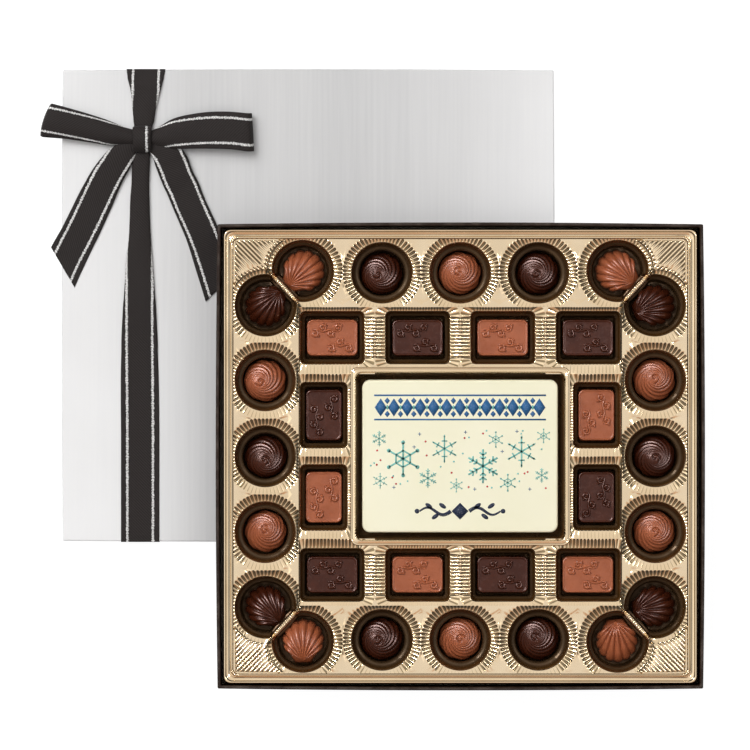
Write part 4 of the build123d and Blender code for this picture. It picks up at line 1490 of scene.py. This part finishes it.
# How far the knot's stripes are moved across it
KNOT_OFFSET = 4.5
KNOT_Y = 91.1
KNOT_REACH = 5.7
KNOT_EDGES = (-95.4, -86.3)
KNOT_LOW = LID_TOP + 1.2
KNOT_HIGH = LID_TOP + 7.9
KNOT_STEPS = 14


def on_lid(left_x, left_y, right_x, right_y, lift, crown):
    """A station that lies on the lid, lifted off it by a little or not at all."""
    height = LID_TOP + SKIN + lift
    return (left_x, left_y, height, right_x, right_y, height, crown)


def down_wall(left, right, side):
    """The band's stations up one wall of the lid, from near its rim to its rounded edge."""
    y = side * (LID_HALF + WALL_GAP)
    stations = [(left, y, z, right, y, z, 0.0) for z in (0.5, 10.0, 20.0, LID_TOP - TRAY_EDGE)]
    y -= side * 0.35
    return stations + [(left, y, LID_TOP - 0.1, right, y, LID_TOP - 0.1, 0.0)]


def knot_station(step):
    """A station round the knot, from under its front to under its back."""
    angle = math.radians(-150 + 300 * step / KNOT_STEPS)
    y = KNOT_Y + KNOT_REACH * math.sin(angle)
    z = (KNOT_LOW + KNOT_HIGH) / 2 + (KNOT_HIGH - KNOT_LOW) / 2 * math.cos(angle)
    spread = 0.5 * abs(math.sin(angle))
    return (KNOT_EDGES[0] - spread, y, z, KNOT_EDGES[1] + spread, y, z, 0.5)


def loop_stations(parts):
    """The stations of a loop's three parts."""
    return [
        (left_x, left_y, height + left_rise, right_x, right_y, height + right_rise, crown)
        for height, crown, edges in parts
        for left_x, left_y, left_rise, right_x, right_y, right_rise in edges
    ]


def ribbon_pieces():
    """Band, knot, loops and tails."""
    band = down_wall(-102.7, -81.6, -1)
    band += [on_lid(left, y, right, y, lift, crown) for y, left, right, lift, crown in BAND_ROUTE]
    band += reversed(down_wall(-99.6, -78.4, 1))
    ribbon_strip("ribbon_band_grosgrain", band, "ribbon_band", across_rolled, steps=6)
    knot = [knot_station(step) for step in range(KNOT_STEPS + 1)]
    ribbon_strip(
        "bow_knot_wrap", knot, "bow_knot", across_rolled, steps=5, width=KNOT_WIDTH, offset=KNOT_OFFSET,
    )
    for side, loop in (("left", LEFT_LOOP), ("right", RIGHT_LOOP)):
        name = f"bow_loop_{side}"
        ribbon_strip(f"{name}_folded", loop_stations(loop), name, across_curled, steps=7)
    for side, route, cut in (("left", LEFT_TAIL, LEFT_CUT), ("right", RIGHT_TAIL, RIGHT_CUT)):
        name = f"bow_tail_{side}"
        stations = [on_lid(*station) for station in route]
        ribbon_strip(f"{name}_hanging", stations, name, across_rolled, cut=cut, steps=9)


# Nodes for the materials: shared effects are node groups with named values

def fill(tree, node, **values):
    """Links or sets a node's inputs by their names."""
    for label, value in values.items():
        feed(tree, node.inputs[label.replace("_", " ")], value)


def feed(tree, socket, value):
    """Links another socket to this one, or sets its value."""
    if isinstance(value, bpy.types.NodeSocket):
        tree.links.new(value, socket)
    else:
        socket.default_value = value


def made(tree, kind, output, **values):
    """One output of a new node, with the node's inputs filled."""
    node = tree.nodes.new(f"ShaderNode{kind}")
    fill(tree, node, **values)
    return node.outputs[output]


def maths(tree, operation, *values):
    """The outcome of a maths node on sockets or numbers."""
    node = tree.nodes.new("ShaderNodeMath")
    node.operation = operation
    for socket, value in zip(node.inputs, values):
        feed(tree, socket, value)
    return node.outputs[0]


def times(tree, first, second):
    """A product."""
    return maths(tree, "MULTIPLY", first, second)


def plus(tree, first, second):
    """A sum."""
    return maths(tree, "ADD", first, second)


def mixed(tree, mask, first, second):
    """A colour between two, by a mask."""
    node = tree.nodes.new("ShaderNodeMix")
    node.data_type = "RGBA"
    for index, value in ((0, mask), (6, first), (7, second)):
        feed(tree, node.inputs[index], value)
    return node.outputs[2]


def noise(tree, vector, scale, detail=3.0, roughness=0.5):
    """A noise value from 0 to 1."""
    return made(tree, "TexNoise", "Fac", Vector=vector, Scale=scale, Detail=detail, Roughness=roughness)


def stretched(tree, vector, scale):
    """A vector stretched along its axes."""
    return made(tree, "Mapping", "Vector", Vector=vector, Scale=scale)


def along_axis(tree, vector, axis):
    """One part of a vector: X, Y or Z."""
    return made(tree, "SeparateXYZ", axis, Vector=vector)


def ranged(tree, value, low, high, to_low=0.0, to_high=1.0):
    """A value stretched from one range to another and held inside it."""
    return made(
        tree, "MapRange", "Result", Value=value, From_Min=low, From_Max=high, To_Min=to_low, To_Max=to_high,
    )


def ramp(tree, value, stops):
    """Colours along a value, from (position, colour) pairs in order."""
    node = tree.nodes.new("ShaderNodeValToRGB")
    elements = node.color_ramp.elements
    elements[0].position, elements[1].position = stops[0][0], stops[-1][0]
    for position, shade in stops[1:-1]:
        elements.new(position)
    for element, (position, shade) in zip(sorted(elements, key=lambda element: element.position), stops):
        element.color = shade
    tree.links.new(value, node.inputs["Fac"])
    return node.outputs["Color"]


def groove_shade_mask(tree):
    """How deep in a groove the form lies, as its shape says: the mask for painted shade in grooves."""
    node = tree.nodes.new("ShaderNodeAttribute")
    node.attribute_name = "fold"
    return node.outputs["Fac"]


def new_group(name, values, results):
    """A node group that takes a vector and named values: the group, what it takes and what it gives."""
    group = bpy.data.node_groups.new(name, "ShaderNodeTree")
    group.interface.new_socket(name="Vector", in_out="INPUT", socket_type="NodeSocketVector")
    for label, value in values.items():
        socket = group.interface.new_socket(name=label, in_out="INPUT", socket_type="NodeSocketFloat")
        socket.default_value = value
    for label in results:
        group.interface.new_socket(name=label, in_out="OUTPUT", socket_type="NodeSocketFloat")
    return group, group.nodes.new("NodeGroupInput").outputs, group.nodes.new("NodeGroupOutput")


def mottle_group():
    """Soft cloudy patches with a finer grain in them: a mask from 0 to 1, and a height."""
    group, given, result = new_group("mottle", {"Scale": 60.0, "Grain": 8.0}, ("Mask", "Height"))
    coarse = noise(group, given["Vector"], given["Scale"], 4.0)
    fine = noise(group, given["Vector"], times(group, given["Scale"], given["Grain"]), 2.0)
    height = plus(group, coarse, times(group, fine, 0.35))
    fill(group, result, Mask=ranged(group, coarse, 0.34, 0.66), Height=height)
    return group


def streak_group():
    """Fine streaks along Y, as on brushed or calendered foil paper."""
    group, given, result = new_group("streaks", {"Pitch": 900.0}, ("Mask",))
    long = stretched(group, given["Vector"], (1, 0.02, 0.4))
    fine = noise(group, long, given["Pitch"], 5.0)
    broad = noise(group, long, times(group, given["Pitch"], 0.12), 2.0)
    both = plus(group, times(group, fine, 0.6), times(group, broad, 0.4))
    fill(group, result, Mask=ranged(group, both, 0.36, 0.64))
    return group


def speck_group():
    """Sparse fine specks, as a mask."""
    group, given, result = new_group("specks", {"Scale": 700.0, "Amount": 0.1}, ("Mask",))
    away = made(group, "TexVoronoi", "Distance", Vector=given["Vector"], Scale=given["Scale"])
    fill(group, result, Mask=maths(group, "LESS_THAN", away, given["Amount"]))
    return group


def effect(tree, group, vector, **values):
    """What a shared effect gives in a material, with its own values."""
    node = tree.nodes.new("ShaderNodeGroup")
    node.node_tree = group
    fill(tree, node, Vector=vector, **values)
    return node.outputs


def colour(red, green, blue):
    """An sRGB colour from 0 to 255, as linear light."""
    def linear(value):
        value /= 255
        return value / 12.92 if value <= 0.04045 else ((value + 0.055) / 1.055) ** 2.4
    return (linear(red), linear(green), linear(blue), 1.0)


# Materials

MOTTLE = mottle_group()
STREAKS = streak_group()
SPECKS = speck_group()


def new_material(name):
    """A material, its node tree and its Object coordinates."""
    material = bpy.data.materials.new(name)
    material.use_nodes = True
    tree = material.node_tree
    return material, tree, made(tree, "TexCoord", "Object")


def coat(tree, base, roughness, relief=None, **values):
    """Feeds a material's shader; relief is a height with its depth in metres and its strength."""
    shader = tree.nodes["Principled BSDF"]
    fill(tree, shader, Base_Color=base, Roughness=roughness, **values)
    if relief:
        height, depth, strength = relief
        normal = made(tree, "Bump", "Normal", Height=height, Distance=depth, Strength=strength)
        fill(tree, shader, Normal=normal)


# Painted sheen across the lid, a reflection put into its colour: brighter at its sides, from left to right in
# metres
PAINTED_SHEEN = ((-0.17, 222), (-0.126, 210), (-0.1, 197), (-0.07, 201), (-0.007, 197), (0.046, 209), (0.1, 233))
# Painted light where the lid is brighter still, towards its left and front: from and to along X and Y, in
# metres
PAINTED_LIGHT_FRONT_LEFT = ((-0.085, -0.150), (0.160, -0.080))


def silver_paper():
    """Pale silver foil paper, brushed along Y, with a painted reflection that is paler towards both sides of
    the lid and painted light towards its left front.
    """
    material, tree, spot = new_material("silver foil paper")
    streaks = effect(tree, STREAKS, spot, Pitch=620.0)["Mask"]
    clouds = effect(tree, MOTTLE, spot, Scale=14.0, Grain=6.0)
    x, y = along_axis(tree, spot, "X"), along_axis(tree, spot, "Y")
    start, end = PAINTED_SHEEN[0][0], PAINTED_SHEEN[-1][0]
    stops = [((place - start) / (end - start), colour(shade, shade, shade + 1)) for place, shade in PAINTED_SHEEN]
    # Painted reflection: paler towards both sides of the lid
    base = ramp(tree, ranged(tree, x, start, end), stops)
    # Painted light: paler still towards the lid's left front
    corner = times(tree, ranged(tree, x, *PAINTED_LIGHT_FRONT_LEFT[0]), ranged(tree, y, *PAINTED_LIGHT_FRONT_LEFT[1]))
    base = mixed(tree, corner, base, colour(238, 238, 239))
    base = mixed(tree, times(tree, streaks, 0.12), base, colour(255, 254, 252))
    base = mixed(tree, times(tree, clouds["Mask"], 0.10), base, colour(190, 187, 184))
    height = plus(tree, times(tree, streaks, 0.5), clouds["Height"])
    roughness = ranged(tree, streaks, 0, 1, 0.46, 0.56)
    coat(tree, base, roughness, (height, 0.0001, 0.3), Metallic=0.2, Specular_IOR_Level=0.25)
    return material


def brown_paper():
    """Near-black brown wrapping paper with a fine grain, paler in patches along the top of its rim."""
    material, tree, spot = new_material("dark brown paper")
    grain = effect(tree, MOTTLE, spot, Scale=260.0, Grain=7.0)
    specks = effect(tree, SPECKS, spot, Scale=520.0, Amount=0.09)["Mask"]
    rim = BASE_FOOT + BASE_SIZE[2] * MM
    # Paler in patches along the top of the rim
    pale_rim_patches = times(
        tree, ranged(tree, along_axis(tree, spot, "Z"), rim - 0.6 * MM, rim),
        ranged(tree, noise(tree, spot, 90.0, 5.0, 0.7), 0.42, 0.7),
    )
    base = mixed(tree, grain["Mask"], colour(30, 16, 9), colour(40, 24, 14))
    base = mixed(tree, times(tree, pale_rim_patches, 0.55), base, colour(104, 92, 84))
    base = mixed(tree, times(tree, specks, 0.25), base, colour(96, 86, 80))
    roughness = ranged(tree, grain["Mask"], 0, 1, 0.38, 0.55)
    coat(tree, base, roughness, (grain["Height"], 0.00008, 0.5), Specular_IOR_Level=0.25)
    return material


def fibrous(name, light, dark):
    """Plain fibrous board or kraft paper."""
    material, tree, spot = new_material(name)
    fibres = noise(tree, stretched(tree, spot, (1, 0.25, 1)), 900.0, 6.0, 0.7)
    clouds = effect(tree, MOTTLE, spot, Scale=45.0, Grain=9.0)["Mask"]
    specks = effect(tree, SPECKS, spot, Scale=420.0, Amount=0.12)["Mask"]
    base = mixed(tree, ranged(tree, fibres, 0.35, 0.65), light, dark)
    base = mixed(tree, times(tree, clouds, 0.3), base, dark)
    base = mixed(tree, times(tree, specks, 0.4), base, colour(84, 74, 62))
    coat(tree, base, 0.85, (fibres, 0.00006, 0.6))
    return material


# How far below the deck the foil starts to darken, partly as drawn foil thins and partly as painted shade in
# the pockets, and where that is full, in metres
FOIL_BRIGHT = 0.0011
FOIL_DARK = 0.0019
# Colours of the foil by depth, partly its thinning and partly painted shade down the pockets, as shares of
# this depth in metres
FOIL_DEPTH = 0.010
FOIL_THIN_AND_SHADE = (
    (0.15, (164, 116, 62)), (0.25, (116, 78, 34)), (0.42, (90, 60, 26)), (0.58, (80, 58, 36)),
    (0.66, (88, 68, 46)), (1.0, (92, 68, 44)),
)


def gold_foil(name, thins_and_shades):
    """Metallised gold sheet: bright on its deck; down in the pockets brown and dull, partly where the drawn
    foil is thinner and partly painted shade; painted shade in its rib grooves.
    """
    material, tree, spot = new_material(name)
    clouds = effect(tree, MOTTLE, spot, Scale=38.0, Grain=11.0)
    base = mixed(tree, clouds["Mask"], colour(228, 205, 171), colour(237, 215, 182))
    roughness = ranged(tree, clouds["Mask"], 0, 1, 0.11, 0.17)
    metallic = 1.0
    if thins_and_shades:
        # Painted shade in the grooves between the ribs and in the hatch, by how deep in a groove each point
        # lies
        base = mixed(tree, ranged(tree, groove_shade_mask(tree), 0.02, 0.15, 0.0, 0.78), base, colour(104, 86, 52))
        height, deck = along_axis(tree, spot, "Z"), DECK_ORIGIN.z
        # Darker and duller with depth: partly the drawn foil's thinning, partly painted shade in the pockets
        drawn = ranged(tree, height, deck - FOIL_BRIGHT, deck - FOIL_DARK)
        depth = ranged(tree, height, deck, deck - FOIL_DEPTH)
        thin = ramp(tree, depth, [(share, colour(*shade)) for share, shade in FOIL_THIN_AND_SHADE])
        broad = ranged(tree, noise(tree, spot, 75.0, 3.0, 0.6), 0.38, 0.62)
        thin = mixed(tree, times(tree, broad, 0.5), thin, colour(62, 45, 24))
        base = mixed(tree, drawn, base, thin)
        roughness = plus(tree, roughness, times(tree, drawn, 0.14))
        metallic = ranged(tree, drawn, 0, 1, 1.0, 0.5)
    crinkle = times(tree, noise(tree, spot, 420.0, 3.0, 0.6), 0.6)
    coat(tree, base, roughness, (plus(tree, crinkle, clouds["Height"]), 0.00005, 0.5), Metallic=metallic)
    return material


def chocolate(name, shades, rough):
    """Moulded chocolate: satin, softly mottled, with faint pale bloom and rubbed marks, and painted shade in
    its grooves.
    """
    material, tree, spot = new_material(name)
    light, dark, bloom, folded = (colour(*shade) for shade in shades)
    clouds = effect(tree, MOTTLE, spot, Scale=120.0, Grain=6.0)
    rubs = noise(tree, stretched(tree, spot, (1, 1, 0.3)), 330.0, 6.0, 0.75)
    base = mixed(tree, clouds["Mask"], dark, light)
    base = mixed(tree, times(tree, ranged(tree, rubs, 0.6, 0.78), 0.3), base, bloom)
    # Painted shade in the grooves of the form, in the last of its colours
    base = mixed(tree, times(tree, groove_shade_mask(tree), 0.7), base, folded)
    height = plus(tree, clouds["Height"], times(tree, rubs, 0.4))
    coat(
        tree, base, ranged(tree, rubs, 0.3, 0.75, rough, rough + 0.13), (height, 0.0001, 0.45),
        Specular_IOR_Level=0.26, Specular_Tint=(1.0, 0.74, 0.7, 1.0),
    )
    return material


def cream_coating():
    """Cream white chocolate with a matt sheen and faint unevenness."""
    material, tree, spot = new_material("cream white chocolate")
    clouds = effect(tree, MOTTLE, spot, Scale=30.0, Grain=10.0)
    specks = effect(tree, SPECKS, spot, Scale=300.0, Amount=0.05)["Mask"]
    base = mixed(tree, clouds["Mask"], colour(248, 243, 212), colour(251, 246, 218))
    base = mixed(tree, times(tree, specks, 0.2), base, colour(214, 196, 150))
    coat(tree, base, ranged(tree, clouds["Mask"], 0, 1, 0.42, 0.55), (clouds["Height"], 0.00006, 0.4))
    return material


def food_ink(name, shade):
    """Printed edible colour, slightly broken up."""
    material, tree, spot = new_material(name)
    breaks = ranged(tree, noise(tree, spot, 1500.0, 3.0, 0.6), 0.55, 0.75)
    pale = tuple(0.6 * part + 0.4 for part in shade[:3]) + (1.0,)
    coat(tree, mixed(tree, times(tree, breaks, 0.6), shade, pale), 0.55)
    return material


# The two stitched stripes, across the ribbon's width from 0 to 1
STRIPES = (0.165, 0.835)
STRIPE_HALF = 0.032
STRIPE_RAGGED = 0.015
# Stitches and twill lines in one ribbon width of length
STITCHES = 15.0
TWILL_PITCH = 13.0
# How many stitches of length a stitch runs forward over one ribbon width of breadth
STITCH_HOOK = STITCHES * 9 / 17


def ribbon_fabric():
    """Black twill ribbon with a silver chain stitch along each edge."""
    material, tree = new_material("black twill ribbon")[:2]
    place = tree.nodes.new("ShaderNodeUVMap")
    place.uv_map = "length"
    place = place.outputs["UV"]
    across, along = along_axis(tree, place, "X"), along_axis(tree, place, "Y")
    lines = times(tree, along, TWILL_PITCH)
    twill = maths(tree, "PINGPONG", plus(tree, times(tree, across, TWILL_PITCH), lines), 0.5)
    weft = maths(tree, "PINGPONG", times(tree, lines, 2.2), 0.5)
    weave = plus(tree, times(tree, ranged(tree, twill, 0.0, 0.5), 0.7), times(tree, weft, 0.6))
    fibres = ranged(tree, noise(tree, place, 90.0, 4.0), 0.5, 0.72, 0.0, 0.4)
    base = mixed(tree, weave, colour(14, 11, 11), colour(50, 44, 43))
    base = mixed(tree, fibres, base, colour(64, 56, 54))

    wander = noise(tree, place, 26.0, 2.0, 0.6)
    ragged = ranged(tree, wander, 0.35, 0.65, -STRIPE_RAGGED, STRIPE_RAGGED)
    silver = 0.0
    for stripe in STRIPES:
        away = plus(tree, maths(tree, "ABSOLUTE", maths(tree, "SUBTRACT", across, stripe)), ragged)
        inside = ranged(tree, away, STRIPE_HALF, STRIPE_HALF * 0.8)
        hooked = plus(tree, times(tree, along, STITCHES), times(tree, away, STITCH_HOOK))
        thread = ranged(tree, maths(tree, "PINGPONG", hooked, 0.5), 0.02, 0.12, 0.35, 1.0)
        seam = ranged(tree, away, 0.0, STRIPE_HALF * 0.3, 0.7, 1.0)
        silver = maths(tree, "MAXIMUM", silver, times(tree, times(tree, inside, thread), seam))
    base = mixed(tree, silver, base, colour(240, 238, 236))
    height = plus(tree, times(tree, weave, 0.5), times(tree, silver, 2.2))
    coat(
        tree, base, ranged(tree, silver, 0, 1, 0.72, 0.42), (height, 0.00015, 0.8),
        Specular_IOR_Level=0.25, Sheen_Weight=0.07, Sheen_Roughness=0.4,
    )
    return material


SILVER = silver_paper()
BROWN = brown_paper()
BOARD = fibrous("grey board", colour(176, 166, 150), colour(150, 140, 124))
KRAFT = fibrous("kraft stay paper", colour(196, 166, 122), colour(170, 138, 96))
GOLD = gold_foil("gold metallised sheet", True)
# The bridge strips' copy of the gold leaves out its darkening by depth, thinning and painted shade alike, so
# they stay bright though they lie low
GOLD_BRIDGE = gold_foil("gold bridge sheet", False)
# A chocolate's colours: light, dark, bloom, and the painted shade of its grooves
DARK = chocolate("dark chocolate", ((68, 30, 15), (56, 22, 9), (112, 70, 58), (26, 10, 6)), 0.2)
MILK = chocolate("milk chocolate", ((170, 96, 63), (154, 84, 53), (204, 140, 110), (104, 48, 26)), 0.23)
CREAM = cream_coating()
RIBBON_FABRIC = ribbon_fabric()
PRINTS = {
    "blue": food_ink("blue food ink", colour(34, 98, 152)),
    "teal": food_ink("teal food ink", colour(126, 200, 190)),
    "red": food_ink("red food ink", colour(204, 52, 48)),
    "ink": food_ink("navy food ink", colour(24, 38, 66)),
}


# Floor, light and camera

# Name, place in metres, width and height in metres, watts, what it does (lights matt things, is mirrored),
# and whether only the chocolates show it
LIGHTS = (
    ("soft key", (-1.1, 1.05, 1.75), (1.9, 1.9), 35.5, (True, False), False),
    ("hard key", (-0.85, 1.25, 2.0), (0.3, 0.3), 5.0, (True, False), False),
    ("left window", (-0.95, 0.75, 1.7), (0.25, 0.25), 11.0, (False, True), False),
    ("right window", (1.0, 0.35, 1.7), (0.2, 0.4), 4.0, (False, True), False),
    ("left gleam", (-0.9, 0.6, 1.7), (1.1, 0.6), 82.0, (False, True), True),
    ("right gleam", (0.95, 0.3, 1.6), (0.4, 0.9), 26.0, (False, True), True),
)
# Brightness of the surroundings by the height they are seen at, from the horizon to straight above
SKY = ((0.0, 0.05), (0.35, 0.08), (0.62, 0.22), (0.8, 0.62), (0.92, 0.91), (0.97, 0.95))
# Parts of them as shiny things show them: axis, where it starts and is full, lowest and full height, light
SKY_SIDES = (
    ("X", 0.20, 0.36, 0.74, 0.88, (0.98, 0.95, 0.88)),
    ("Y", -0.18, -0.36, 0.50, 0.72, (0.68, 0.42, 0.27)),
    ("Y", 0.10, 0.32, 0.50, 0.74, (0.95, 0.91, 0.85)),
    ("X", -0.20, -0.36, 0.72, 0.86, (1.35, 1.32, 1.25)),
)
SKY_PATCHES = 5.0
FLOOR_SIZE = 4.0
FLOOR_GREY = (0.2, 0.2, 0.2, 1)
FLOOR_GLOW = 0.93


def studio(glossy):
    """White floor, lights from the back left, and surroundings to reflect; glossy holds the chocolates."""
    floor = bmesh.new()
    bmesh.ops.create_grid(floor, x_segments=2, y_segments=2, size=FLOOR_SIZE)
    mesh = bpy.data.meshes.new("floor")
    floor.to_mesh(mesh)
    floor.free()
    ground = bpy.data.objects.new("floor", mesh)
    bpy.context.scene.collection.objects.link(ground)
    paint, tree = new_material("white floor")[:2]
    coat(tree, FLOOR_GREY, 0.9, Emission_Color=(1, 1, 1, 1), Emission_Strength=FLOOR_GLOW)
    mesh.materials.append(paint)

    for name, place, size, power, (lights_up, mirrored), gleam in LIGHTS:
        light = bpy.data.lights.new(name, "AREA")
        light.shape = "RECTANGLE"
        light.size, light.size_y = size
        light.energy = power
        lamp = bpy.data.objects.new(name, light)
        lamp.location = place
        lamp.visible_diffuse = lights_up
        lamp.visible_glossy = mirrored
        if gleam:
            lamp.light_linking.receiver_collection = glossy
        lamp.rotation_euler = Vector(place).to_track_quat("Z", "Y").to_euler()
        bpy.context.scene.collection.objects.link(lamp)

    world = bpy.data.worlds.new("studio")
    bpy.context.scene.world = world
    world.use_nodes = True
    tree = world.node_tree
    heading = made(tree, "TexCoord", "Generated")
    above = along_axis(tree, heading, "Z")
    sky = ramp(tree, above, [(height, (shade, shade, shade, 1)) for height, shade in SKY])
    shown = sky
    patches = ranged(tree, noise(tree, heading, SKY_PATCHES, 3.0, 0.6), 0.42, 0.56)
    for axis, start, full, level, full_level, light in SKY_SIDES:
        side = ranged(tree, along_axis(tree, heading, axis), start, full)
        mask = times(tree, side, ranged(tree, above, level, full_level))
        if axis == "Y" and full < 0:
            mask = times(tree, mask, patches)
        shown = mixed(tree, mask, shown, (*light, 1.0))
    matt = made(tree, "LightPath", "Is Diffuse Ray")
    fill(tree, tree.nodes["Background"], Color=mixed(tree, matt, shown, sky), Strength=1.0)


CAMERA_HEIGHT = 3.0
CAMERA_LENS = 260.0
CAMERA_AIM = (0.00245, 0.00165)


def camera():
    """Straight down, far enough away for the photograph's flat perspective."""
    data = bpy.data.cameras.new("camera")
    data.lens = CAMERA_LENS
    data.sensor_width = 36.0
    data.clip_end = 20.0
    eye = bpy.data.objects.new("camera", data)
    eye.location = (CAMERA_AIM[0], CAMERA_AIM[1], CAMERA_HEIGHT)
    bpy.context.scene.collection.objects.link(eye)
    bpy.context.scene.camera = eye
    bpy.context.scene.view_settings.view_transform = "Standard"


def painted_nodes():
    """The CAD nodes that stay get their paper."""
    for name in ("lid_corner_stays", "base_corner_stays"):
        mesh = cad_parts[name].data
        mesh.materials.clear()
        mesh.materials.append(KRAFT)


GLOSSY = bpy.data.collections.new("chocolates")
camera()
studio(GLOSSY)
tray("lid", LID_SIZE, LID_ORIGIN, "lid", SILVER, "silver_paper", True)
tray("base", BASE_SIZE, BASE_ORIGIN, "base", BROWN, "brown_paper", False)
insert_pieces()
chocolates(GLOSSY)
printed_bar()
ribbon_pieces()
painted_nodes()

bpy.context.view_layer.update()
